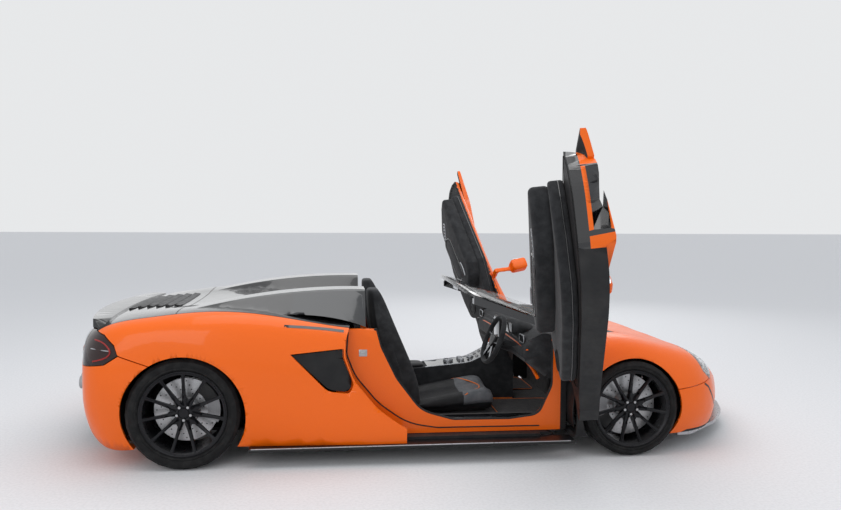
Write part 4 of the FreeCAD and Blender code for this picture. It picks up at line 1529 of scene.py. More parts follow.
@dataclass
class Wheels:
    """The four wheels and their brakes."""

    rear: Wheel = field(default_factory=lambda: Wheel(
        place="rear", axle_x=0.0, tyre_radius=0.329, rim_radius=0.252, face=0.935, width=0.265,
        disc_radius=0.188, caliper_turn=90.0))
    front: Wheel = field(default_factory=lambda: Wheel(
        place="front", axle_x=2.7, tyre_radius=0.298, rim_radius=0.240, face=0.925, width=0.214,
        disc_radius=0.192, caliper_turn=-90.0))

    def build(self) -> None:
        """Builds both axles' wheels."""
        self.rear.build()
        self.front.build()


class Surface:
    """Finds places on the skin of the frame's panels."""

    def __init__(self, *nodes: str) -> None:
        """Takes the panels to look at, by their nodes' or pieces' names."""
        self.trees = []
        for node in nodes:
            panel = frame["nodes"].get(node) or bpy.data.objects[node]
            corners = [vert.co.copy() for vert in panel.data.vertices]
            faces = [tuple(face.vertices) for face in panel.data.polygons]
            self.trees.append(BVHTree.FromPolygons(corners, faces))

    def hit(self, start: Point, way: Point) -> Vector:
        """The first place that a straight line meets.

        Args:
            start: Where the line starts.
            way: Which way it goes.

        Returns:
            The place, or one a little way on where it meets nothing.
        """
        best, reach = Vector(start) + Vector(way) * 1.2, math.inf
        for tree in self.trees:
            place, _, _, distance = tree.ray_cast(Vector(start), Vector(way))
            if place is not None and distance < reach:
                best, reach = place, distance
        return best

    def side(self, x: float, z: float, side: Side, lift: float = 0.0) -> Point:
        """A place on the flank, x measured from the rear axle."""
        place = self.hit((along(x), side.value * 1.4, z), (0.0, -side.value, 0.0))
        return (place.x, place.y + side.value * lift, place.z)

    def top(self, x: float, y: float, lift: float = 0.0) -> Point:
        """A place on the upper face."""
        place = self.hit((along(x), y, 1.5), (0.0, 0.0, -1.0))
        return (place.x, place.y, place.z + lift)

    def end(self, y: float, z: float, way: int, lift: float = 0.0) -> Point:
        """A place on the nose (way 1) or the tail (way -1)."""
        place = self.hit((way * 3.0, y, z), (-way, 0.0, 0.0))
        return (place.x + way * lift, place.y, place.z)


@dataclass
class Seats:
    """Two bucket seats: padded squab and back with bolsters, panels, piping and belts."""

    middle: float = 0.362
    drawn_foot: float = 0.166
    drop: float = field(init=False)
    """How far the CAD seats stand above the foot that the sections are drawn for."""
    squab: tuple = (
        (1.350, 0.170, 0.232, 0.262, 0.190),
        (1.450, 0.168, 0.256, 0.293, 0.214),
        (1.600, 0.168, 0.280, 0.320, 0.2195),
        (1.750, 0.168, 0.306, 0.346, 0.2195),
        (1.850, 0.170, 0.330, 0.364, 0.2170),
        (1.898, 0.176, 0.326, 0.350, 0.2080),
        (1.919, 0.205, 0.285, 0.300, 0.1850),
    )
    """Squab sections: x, base z, middle z, bolster z and half width."""
    back: tuple = (
        (0.215, 1.425, 1.250, 0.040, 0.205),
        (0.300, 1.436, 1.212, 0.050, 0.2125),
        (0.440, 1.408, 1.172, 0.055, 0.2125),
        (0.600, 1.340, 1.138, 0.050, 0.2115),
        (0.730, 1.283, 1.110, 0.040, 0.2030),
        (0.815, 1.247, 1.094, 0.026, 0.1750),
        (0.865, 1.226, 1.091, 0.012, 0.1380),
        (0.925, 1.200, 1.086, 0.006, 0.1170),
        (0.980, 1.172, 1.083, 0.004, 0.1080),
        (1.002, 1.150, 1.090, 0.002, 0.0900),
    )
    """Back sections: z, front x, rear x, hollow between the bolsters and half width."""

    def __post_init__(self) -> None:
        """Reads the drop from the CAD seats."""
        seats = frame["nodes"]["seats"]
        self.drop = min((seats.matrix_world @ Vector(c)).z for c in seats.bound_box) - self.drawn_foot

    def build(self) -> None:
        """Builds both seats."""
        pieces = {"squab": [], "back": []}
        for side in Side:
            pieces["squab"].append(self.make_squab(side))
            pieces["back"].append(self.make_back(side))
        squabs = Bench.join("seat_squabs", pieces["squab"])
        backs = Bench.join("seat_backs", pieces["back"])
        finished(squabs, LEATHER, "car", "seats")
        finished(backs, SUEDE, "car", "seats")
        self.colour(squabs, lambda p: p.x - REAR_AXLE_X > 1.705 and p.z > 0.262 + self.drop)
        self.colour(backs, lambda p: 0.28 < p.z < 0.80 and abs(abs(p.y) - self.middle) < 0.105
                    and p.x - REAR_AXLE_X > 1.20)
        for side in Side:
            self.pipe(side)
            self.belt(side)

    def place(self, side: Side, x: float, across: float, z: float) -> Point:
        """A place on one seat, measured across from its own middle, outward positive."""
        return (along(x), side.value * (self.middle + across), z + self.drop)

    def make_squab(self, side: Side) -> Piece:
        """The squab, hollowed between its side bolsters.

        Args:
            side: The seat's side.

        Returns:
            The squab.
        """
        sections = []
        for x, base, centre, bolster, half in self.squab:
            ring = []
            for factor, z in ((0.94, base), (1.0, base + (bolster - base) * 0.35), (1.0, bolster - 0.028),
                              (0.94, bolster - 0.004), (0.80, bolster), (0.66, bolster - 0.014),
                              (0.56, centre + 0.004), (0.28, centre), (0.0, centre + 0.002)):
                ring.append((factor * half, z))
            ring += [(-y, z) for y, z in reversed(ring[:-1])]
            sections.append([self.place(side, x, y, z) for y, z in ring])
        return Bench.lofted(f"squab_{side.word}", sections, 2)

    def make_back(self, side: Side) -> Piece:
        """The back with its bolsters, drawn in to the head rest at the top.

        Args:
            side: The seat's side.

        Returns:
            The back.
        """
        sections = []
        for z, front, rear, hollow, half in self.back:
            ring = []
            for factor, x in ((0.86, rear), (0.99, rear + 0.022), (1.0, rear + 0.06), (1.0, front - 0.040),
                              (0.93, front - 0.008), (0.80, front), (0.68, front - hollow * 0.35),
                              (0.56, front - hollow), (0.28, front - hollow), (0.0, front - hollow * 0.96)):
                ring.append((factor * half, x))
            ring += [(-y, x) for y, x in reversed(ring[:-1])]
            sections.append([self.place(side, x, y, z) for y, x in ring])
        return Bench.lofted(f"back_{side.word}", sections, 2)

    def colour(self, piece: Piece, test: Callable[[Vector], bool]) -> None:
        """Gives some faces the grey panel leather.

        Args:
            piece: The squabs or the backs.
            test: Says for a face's centre whether it is grey.
        """
        piece.data.materials.append(FINISHES.of(GREY_LEATHER))
        for face in piece.data.polygons:
            if test(face.center):
                face.material_index = 1

    def pipe(self, side: Side) -> None:
        """Runs orange piping round the squab's front panel, and grey seams along the back's bolsters.

        Args:
            side: The seat's side.
        """
        skin = Surface("seat_squabs")
        line = []
        for x, across in ((1.700, 0.208), (1.735, 0.180), (1.790, 0.140), (1.838, 0.080), (1.856, 0.0),
                          (1.838, -0.080), (1.790, -0.140), (1.735, -0.180), (1.700, -0.208)):
            place = self.place(side, x, across, 0.6)
            line.append((place[0], place[1], skin.hit(place, (0.0, 0.0, -1.0)).z + 0.001))
        piping = Bench.rod(f"squab_piping_{side.word}", line, 0.0042, 8)
        finished(piping, ORANGE_LEATHER, "car")
        skin = Surface("seat_backs")
        for name, edge in (("outer", 1.0), ("inner", -1.0)):
            line = []
            for z, across in ((0.36, 0.118), (0.50, 0.116), (0.64, 0.110), (0.76, 0.092)):
                place = self.place(side, 1.7, edge * across, z)
                line.append((skin.hit(place, (-1.0, 0.0, 0.0)).x + 0.0006, place[1], place[2]))
            seam = Bench.rod(f"back_seam_{name}_{side.word}", line, 0.0022, 6)
            finished(seam, GREY_LEATHER, "car")

    def belt(self, side: Side) -> None:
        """Hangs the belt from the bulkhead beside the head rest down to its buckle.

        Args:
            side: The seat's side.
        """
        path = [self.place(side, x, across, z) for x, across, z in (
            (1.085, 0.215, 0.740), (1.125, 0.2145, 0.660), (1.180, 0.2145, 0.540),
            (1.225, 0.2155, 0.400), (1.262, 0.2185, 0.300), (1.272, 0.2185, 0.240))]
        sections = []
        for index, point in enumerate(path):
            before, after = Vector(path[max(index - 1, 0)]), Vector(path[min(index + 1, len(path) - 1)])
            way = (after - before).normalized()
            out = Vector((0.0, side.value, 0.0))
            wide = way.cross(out).normalized() * 0.023
            thick = out * 0.0012
            here = Vector(point) + out * 0.002
            sections.append([tuple(here + wide + thick), tuple(here - wide + thick),
                             tuple(here - wide - thick), tuple(here + wide - thick)])
        strap = Bench.lofted(f"belt_{side.word}", sections)
        finished(strap, RED_WEBBING, "car")
        x, y, z = self.place(side, 1.430, -0.236, 0.330)
        low, high = y - 0.009, y + 0.009
        buckle = Bench.block(f"buckle_{side.word}", (x - 0.020, low, z - 0.035),
                             (x + 0.020, high, z + 0.030), 0.006)
        finished(buckle, SATIN_BLACK, "car")
        press = Bench.block(f"buckle_press_{side.word}", (x - 0.014, low + 0.003, z + 0.029),
                            (x + 0.014, high - 0.003, z + 0.034), 0.001)
        finished(press, RED_WEBBING, "car")


@dataclass
class SteeringWheel:
    """The rim, pad, spokes and paddles, leaning back on the column."""

    centre: Point = (1.950, -0.362, 0.640)
    lean: float = 22.0
    radius: float = 0.1675
    grip_radius: float = 0.0148
    arm_turns: tuple = ((-96.0, 0.034), (96.0, 0.034), (-34.0, 0.020), (34.0, 0.020))
    """Each arm's turn from the rim's top, and its width."""

    @property
    def turned(self) -> Matrix:
        """From the wheel's own plane, its z along the column, to the car."""
        x, y, z = self.centre
        return Matrix.Translation((along(x), y, z)) @ Matrix.Rotation(math.radians(90.0 + self.lean), 4, "Y")

    def build(self) -> None:
        """Builds the wheel in its own plane and tips it into place."""
        body = frame["nodes"]["steering_wheel"]["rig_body"]
        Bench.clear()
        bpy.ops.mesh.primitive_torus_add(major_radius=self.radius, minor_radius=self.grip_radius,
                                         major_segments=72, minor_segments=14)
        grip = Bench.settle(bpy.context.object)
        grip.name = "steering_grip"
        for vert in grip.data.vertices:
            vert.co.x -= 0.14 * max(vert.co.x - 0.10, 0.0)
            vert.co.z *= 1.18
        Bench.smooth(grip, 60)
        pad_line = [(-0.034, -0.062, 0.018), (-0.034, 0.062, 0.018), (0.020, 0.056, 0.020),
                    (0.046, 0.026, 0.014), (0.046, -0.026, 0.014), (0.020, -0.056, 0.020)]
        pad = Bench.plate("steering_pad", [Vector((x, y, -0.012)) for x, y in rounded(pad_line)],
                          Vector((0.0, 0.0, 0.040)), 0.008, 4)
        arms, edges = [], []
        for index, (degrees, width) in enumerate(self.arm_turns):
            way = Vector((math.cos(math.radians(degrees)), math.sin(math.radians(degrees)), 0.0))
            side = Vector((-way.y, way.x, 0.0)) * (width / 2)
            start, end = way * 0.036, way * (self.radius - 0.006)
            corners = [start - side * 1.25, start + side * 1.25, end + side * 0.8, end - side * 0.8]
            lifted = [corner + Vector((0.0, 0.0, 0.002)) for corner in corners]
            arms.append(Bench.plate(f"steering_arm_{index}", lifted, Vector((0.0, 0.0, 0.012)), 0.003, 2))
            line = [start + side * 1.25, end + side * 0.8]
            edges.append(Bench.rod(f"steering_edge_{index}", [tuple(p) for p in line], 0.0035, 8, order=2))
            if index > 1:
                edges.append(Bench.plate(f"steering_leaf_{index}", corners, Vector((0.0, 0.0, -0.003)),
                                         0.001, 1))
        paddles = []
        for sign in (-1.0, 1.0):
            line = [(-0.040, sign * 0.070, 0.004), (-0.030, sign * 0.128, 0.010),
                    (0.020, sign * 0.128, 0.010), (0.026, sign * 0.070, 0.004)]
            corners = [Vector((x, y, 0.034)) for x, y in rounded(line)]
            paddles.append(Bench.plate(f"paddle_{sign:.0f}", corners, Vector((0.0, 0.0, 0.004)), 0.001, 1))
        shaft = Bench.spun("steering_shaft", [(0.0005, 0.0, 0.026), (0.030, 0.0, 0.026), (0.034, 0.0, 0.045),
                                              (0.0005, 0.0, 0.045)], (0.0, 0.0, 0.0), (0.0, 0.0, 1.0), 24)
        groups = (("steering_wheel_grip", [grip], SUEDE),
                  ("steering_wheel_pad", [pad, shaft], SATIN_BLACK),
                  ("steering_wheel_arms", arms + paddles, SATIN_BLACK),
                  ("steering_wheel_edges", edges, SILVER))
        for name, pieces, finish in groups:
            whole = Bench.moved(Bench.join(name, pieces), self.turned)
            finished(whole, finish, body, "steering_wheel")


@dataclass
class Cabin:
    """Instruments, screens, vents, console, pedals and carpets."""

    driver_y: float = -0.362
    console_top: tuple = ((1.200, 0.3835), (1.500, 0.4005), (1.720, 0.4195), (1.850, 0.4330), (2.060, 0.5460))
    """The console's upper edge: x and z."""
    half_console: float = 0.105
    vent_places: tuple = (-0.610, -0.135, 0.135, 0.610)
    vent_at: Pair = (2.078, 0.690)
    vent_half: Pair = (0.052, 0.024)
    vane_count: int = 5
    vane_pitch: float = 0.008
    knobs: tuple = ((1.700, 0.0, 0.036), (1.790, -0.034, 0.022), (1.790, 0.034, 0.022), (1.862, 0.0, 0.026))
    """The console's knobs: x, y and radius."""
    pedals: tuple = ((-0.270, 0.190, 0.330, 0.024), (-0.385, 0.225, 0.300, 0.040))
    """The pedals: y, lower and upper edge and half width."""

    def build(self) -> None:
        """Builds the cabin's fittings."""
        self.hood()
        self.screens()
        self.vents()
        self.console()
        self.arm_rest()
        self.footwells()
        self.mirror()

    def block(self, name: str, low: Point, high: Point, bevel: float, finish: Finish) -> Piece:
        """A dressed block with x measured from the rear axle.

        Args:
            name: The block's name.
            low: Its lowest corner.
            high: Its highest corner.
            bevel: The width of its rounding.
            finish: Its finish.

        Returns:
            The block.
        """
        piece = Bench.block(name, (along(low[0]), low[1], low[2]), (along(high[0]), high[1], high[2]), bevel)
        return finished(piece, finish, "car")

    def hood(self) -> None:
        """The instrument hood over the column, and the dashboard's upper roll."""
        sections = []
        for x, half, top in ((2.047, 0.152, 0.776), (2.070, 0.168, 0.792), (2.130, 0.160, 0.790),
                             (2.220, 0.110, 0.756)):
            ring = []
            for step in range(13):
                angle = math.pi * step / 12
                ring.append((along(x), self.driver_y + half * math.cos(angle),
                             0.700 + (top - 0.700) * math.sin(angle) ** 0.6))
            sections.append(ring)
        finished(Bench.lofted("instrument_hood", sections, 1), SUEDE, "car")
        for name, x, line, radius, sides, finish in (
                ("dashboard_roll", 2.098, ((-0.69, 0.655), (-0.45, 0.672), (0.0, 0.676), (0.45, 0.672),
                                           (0.69, 0.655)), 0.013, 12, LEATHER),
                ("dashboard_streak", 2.090, ((-0.70, 0.628), (-0.56, 0.640), (-0.20, 0.646), (0.20, 0.646),
                                             (0.56, 0.640), (0.70, 0.628)), 0.0085, 10, ORANGE),
                ("knee_streak", 2.160, ((-0.700, 0.452), (-0.640, 0.476), (-0.520, 0.500), (-0.44, 0.506)),
                 0.012, 10, ORANGE)):
            points = [(along(x), y, z) for y, z in line]
            finished(Bench.rod(name, points, radius, sides), finish, "car")

    def screens(self) -> None:
        """The instrument screen and the upright middle screen, both dark and blank."""
        self.block("instrument_screen", (2.044, self.driver_y - 0.125, 0.694),
                   (2.050, self.driver_y + 0.125, 0.764), 0.003, SCREEN)
        self.block("middle_screen_frame", (2.062, -0.088, 0.548), (2.082, 0.088, 0.752), 0.008, SATIN_BLACK)
        self.block("middle_screen", (2.0595, -0.078, 0.560), (2.0625, 0.078, 0.740), 0.001, SCREEN)

    def vents(self) -> None:
        """Four air vents with five vanes each in a silver ring, each closed behind its vanes by a dark plate
        of painted shade.
        """
        (x, z), (half, tall) = self.vent_at, self.vent_half
        corners = tuple((u, v, 0.02) for u, v in ((-half, -tall), (half, -tall), (half, tall), (-half, tall)))
        for index, y in enumerate(self.vent_places):
            line = [(along(x), y + u, z + v) for u, v in rounded(corners, 5)]
            finished(Bench.rod(f"vent_ring_{index}", line, 0.0035, 8, closed=True, order=2), SILVER, "car")
            # A dark plate fills the vent's opening: painted shade standing for the duct's depth behind the
            # vanes.
            back = Bench.plate(f"vent_back_{index}", [Vector(p) for p in line], Vector((0.012, 0.0, 0.0)),
                               0.001, 1)
            vanes = []
            for step in range(self.vane_count):
                level = z + self.vane_pitch * (step - (self.vane_count - 1) / 2)
                vanes.append(Bench.block(
                    f"vane_{index}_{step}", (along(x) - 0.006, y - half + 0.006, level - 0.001),
                    (along(x) + 0.004, y + half - 0.006, level + 0.001), 0.0005, 1))
            finished(back, SATIN_BLACK, "car")
            finished(Bench.join(f"vent_vanes_{index}", vanes), GRAINED_BLACK, "car")

    def height(self, x: float) -> float:
        """The console's upper face at a place along it.

        Args:
            x: The place, ahead of the rear axle.

        Returns:
            The face's height.
        """
        for (x0, z0), (x1, z1) in zip(self.console_top, self.console_top[1:]):
            if x <= x1:
                return z0 + (z1 - z0) * (x - x0) / (x1 - x0)
        return self.console_top[-1][1]

    def console(self) -> None:
        """The console's gloss deck, its silver edges, knobs and buttons."""
        for index, sign in enumerate((-1.0, 1.0)):
            line = [(along(x), sign * (self.half_console - 0.004), self.height(x) + 0.002) for x in
                    (1.520, 1.640, 1.740, 1.840, 1.900, 1.960, 2.050)]
            finished(Bench.rod(f"console_edge_{index}", line, 0.0045, 8), SILVER, "car")
        sections = []
        for x in (1.535, 1.640, 1.740, 1.845, 1.900, 1.960, 2.045):
            z, half = self.height(x), self.half_console - 0.008
            sections.append([(along(x), y, z + rise) for y, rise in
                             ((-half, 0.0045), (half, 0.0045), (half, -0.002), (-half, -0.002))])
        finished(Bench.lofted("console_deck", sections), GLOSS_BLACK, "car")
        rings, caps = [], []
        for x, y, r in self.knobs:
            centre = (along(x), y, self.height(x) + 0.004)
            for name, pieces, steps, profile in (
                    ("ring", rings, 28, ((r - 0.007, 0.0), (r, 0.0), (r, 0.016), (r - 0.003, 0.019),
                                         (r - 0.007, 0.016))),
                    ("cap", caps, 24, ((0.0004, 0.0), (r - 0.008, 0.0), (r - 0.008, 0.013),
                                       (0.0004, 0.015)))):
                points = [(centre[0] + out, y, centre[2] + rise) for out, rise in profile]
                pieces.append(Bench.spun(name, points, centre, (0.0, 0.0, 1.0), steps))
        finished(Bench.join("console_rings", rings), SILVER, "car")
        finished(Bench.join("console_caps", caps), SATIN_BLACK, "car")
        keys = []
        for index in range(6):
            x, y = 1.905 + 0.034 * (index // 2), 0.048 * (1 if index % 2 else -1)
            z = self.height(x) + 0.003
            keys.append(Bench.block("key", (along(x) - 0.012, y - 0.016, z - 0.004),
                                    (along(x) + 0.012, y + 0.016, z + 0.009), 0.003, 2))
        finished(Bench.join("console_keys", keys), DISC_IRON, "car")

    def arm_rest(self) -> None:
        """The padded arm rest on the console's rear end."""
        sections = []
        for x, lift, half in ((1.165, 0.012, 0.070), (1.185, 0.030, 0.088), (1.300, 0.034, 0.094),
                              (1.440, 0.032, 0.092), (1.500, 0.026, 0.084), (1.515, 0.010, 0.070)):
            z = self.height(x)
            sections.append([(along(x), y * half, z + h) for y, h in (
                (-0.95, 0.001), (0.95, 0.001), (1.0, lift * 0.5), (0.8, lift * 0.95), (0.0, lift),
                (-0.8, lift * 0.95), (-1.0, lift * 0.5))])
        rest = Bench.lofted("arm_rest", sections, 2)
        finished(rest, LEATHER, "car")

    def footwells(self) -> None:
        """Front bulkhead, pedals, mats with orange piping and the console's base piping."""
        self.block("front_bulkhead", (2.462, -0.515, 0.150), (2.472, 0.515, 0.470), 0.002, GRAINED_BLACK)
        for index, (y, low, high, wide) in enumerate(self.pedals):
            self.block(f"pedal_{index}", (2.395, y - wide, low), (2.407, y + wide, high), 0.004, DISC_IRON)
            arm = [(along(x), y, z) for x, z in
                   ((2.407, (low + high) / 2), (2.440, high + 0.03), (2.462, high + 0.09))]
            finished(Bench.rod(f"pedal_arm_{index}", arm, 0.007, 8), SATIN_BLACK, "car")
        self.block("foot_rest", (2.400, -0.190, 0.170), (2.415, -0.125, 0.330), 0.004, GRAINED_BLACK)
        floor_top = self.floor_height()
        for side in Side:
            line = rounded(((1.955, 0.140, 0.03), (2.380, 0.140, 0.03), (2.380, 0.500, 0.03),
                            (2.250, 0.585, 0.03), (1.955, 0.585, 0.03)), 4)
            corners = [Vector((along(x), side.value * y, floor_top + 0.0006)) for x, y in line]
            mat = Bench.plate(f"mat_{side.word}", corners, Vector((0.0, 0.0, 0.007)), 0.002, 1)
            finished(mat, CARPET, "car")
            edge = [(along(x), side.value * y, floor_top + 0.0076) for x, y in line]
            piping = Bench.rod(f"mat_piping_{side.word}", edge, 0.0028, 6, closed=True, order=2)
            finished(piping, ORANGE_LEATHER, "car")
            base = [(along(x), side.value * 0.110, floor_top + 0.008) for x in (1.935, 2.05, 2.155)]
            finished(Bench.rod(f"console_piping_{side.word}", base, 0.003, 6), ORANGE_LEATHER, "car")

    def floor_height(self) -> float:
        """The floor's upper face in a footwell."""
        return Surface("tub").hit((along(2.2), 0.35, 0.40), (0.0, 0.0, -1.0)).z

    def mirror(self) -> None:
        """The inside mirror under the screen's top rail."""
        self.block("inside_mirror", (1.752, -0.105, 0.945), (1.776, 0.105, 0.992), 0.010, SATIN_BLACK)
        self.block("inside_mirror_glass", (1.7505, -0.097, 0.951), (1.7525, 0.097, 0.986), 0.0008,
                   MIRROR_GLASS)
        stalk = [(along(1.772), 0.0, 0.975), (along(1.785), 0.0, 1.000), (along(1.775), 0.0, 1.014)]
        finished(Bench.rod("inside_mirror_stalk", stalk, 0.007, 8), SATIN_BLACK, "car")


@dataclass
class Lamps:
    """Head and tail lamps with their insides."""

    bowl_setback: float = -0.030
    projectors: tuple = ((3.245, 0.535, 0.024), (3.305, 0.492, 0.021))
    """The projectors: x, z and radius."""
    blade: tuple = ((3.220, 0.510), (3.250, 0.478), (3.300, 0.458), (3.345, 0.466), (3.375, 0.482))
    """The daytime light's line: x and z."""
    tail_line: tuple = ((-0.500, 0.757), (-0.450, 0.752), (-0.408, 0.722), (-0.392, 0.688), (-0.430, 0.656),
                        (-0.500, 0.640))
    """The tail light's line: x and z."""
    fin_line: tuple = ((-0.520, 0.708), (-0.460, 0.705), (-0.405, 0.702))
    """The line of the fin across the tail lamp: x and z."""

    def build(self) -> None:
        """Builds both pairs."""
        self.carry_lens("head_lamps", CLEAR, self.bowl_setback)
        self.carry_lens("tail_lamps", SMOKED, 0.0)
        for side in Side:
            self.head(side)
            self.tail(side)

    def carry_lens(self, node: str, finish: Finish, back: float) -> None:
        """Carries a pair of lamps over: the outer shells as lenses, the inner ones as dark bowls.

        Args:
            node: The lamps' node.
            finish: The lenses' finish.
            back: How far the bowls are set back, to leave room for what is between.
        """
        lens = Panels().carry(node, finish)
        lens.data.materials.append(FINISHES.of(GLOSS_BLACK))
        mesh = bmesh.new()
        mesh.from_mesh(lens.data)
        islands = self.islands(mesh)
        for sign in (-1, 1):
            here = [i for i in islands if sign * sum(f.calc_center_median().y for f in i) > 0]
            reach = {id(i): max(abs(v.co.x) + 0.5 * abs(v.co.y) for f in i for v in f.verts) for i in here}
            outer = max(here, key=lambda i: reach[id(i)])
            for island in here:
                if island is not outer:
                    verts = {vert for face in island for vert in face.verts}
                    for vert in verts:
                        vert.co.x += back
                    for face in island:
                        face.material_index = 1
        mesh.to_mesh(lens.data)
        mesh.free()

    def islands(self, mesh: bmesh.types.BMesh) -> list[set]:
        """Parts a mesh into the groups of faces that hang together.

        Args:
            mesh: The mesh.

        Returns:
            The groups.
        """
        waiting = set(mesh.faces)
        islands = []
        while waiting:
            first = waiting.pop()
            island, edge = {first}, [first]
            while edge:
                for line in edge.pop().edges:
                    for other in line.link_faces:
                        if other in waiting:
                            waiting.discard(other)
                            island.add(other)
                            edge.append(other)
            islands.append(island)
        return islands

    def head(self, side: Side) -> None:
        """Two projectors in silver bezels and a white blade of daytime light.

        Args:
            side: The lamp's side.
        """
        skin = Surface("head_lamps")
        parts, bowls = [], []
        for x, z, radius in self.projectors:
            place = Vector(skin.side(x, z, side))
            middle = place - Vector((0.012, side.value * 0.020, 0.002))
            Bench.clear()
            bpy.ops.mesh.primitive_uv_sphere_add(segments=24, ring_count=14, radius=radius, location=middle)
            ball = Bench.settle(bpy.context.object)
            parts.append(ball)
            way = Vector((0.85, side.value * 0.50, 0.15)).normalized()
            start = way.orthogonal().normalized()
            ring = [middle + Matrix.Rotation(math.tau * step / 24, 3, way) @ start * (radius + 0.003)
                    for step in range(24)]
            bowls.append(Bench.rod("bezel", [tuple(p) for p in ring], 0.003, 8, closed=True, order=3))
        for ball in parts:
            Bench.smooth(ball, 80)
        finished(Bench.join(f"head_projectors_{side.word}", parts), LAMP_WHITE, "car")
        finished(Bench.join(f"head_bezels_{side.word}", bowls), SILVER, "car")
        line = []
        for x, z in self.blade:
            x0, y0, z0 = skin.side(x, z, side)
            line.append((x0 - 0.006, y0 - side.value * 0.009, z0))
        finished(Bench.rod(f"head_blade_{side.word}", line, 0.0055, 8), LAMP_WHITE, "car")

    def tail(self, side: Side) -> None:
        """A thin red light line round the lamp's edge and a fin across it.

        Args:
            side: The lamp's side.
        """
        skin = Surface("tail_lamps")
        line = [skin.side(x, z, side, 0.0015) for x, z in self.tail_line]
        finished(Bench.rod(f"tail_light_{side.word}", line, 0.0050, 8), RED_LENS, "car")
        fin = [skin.side(x, z, side, 0.0010) for x, z in self.fin_line]
        finished(Bench.rod(f"tail_fin_{side.word}", fin, 0.0035, 8), SILVER, "car")


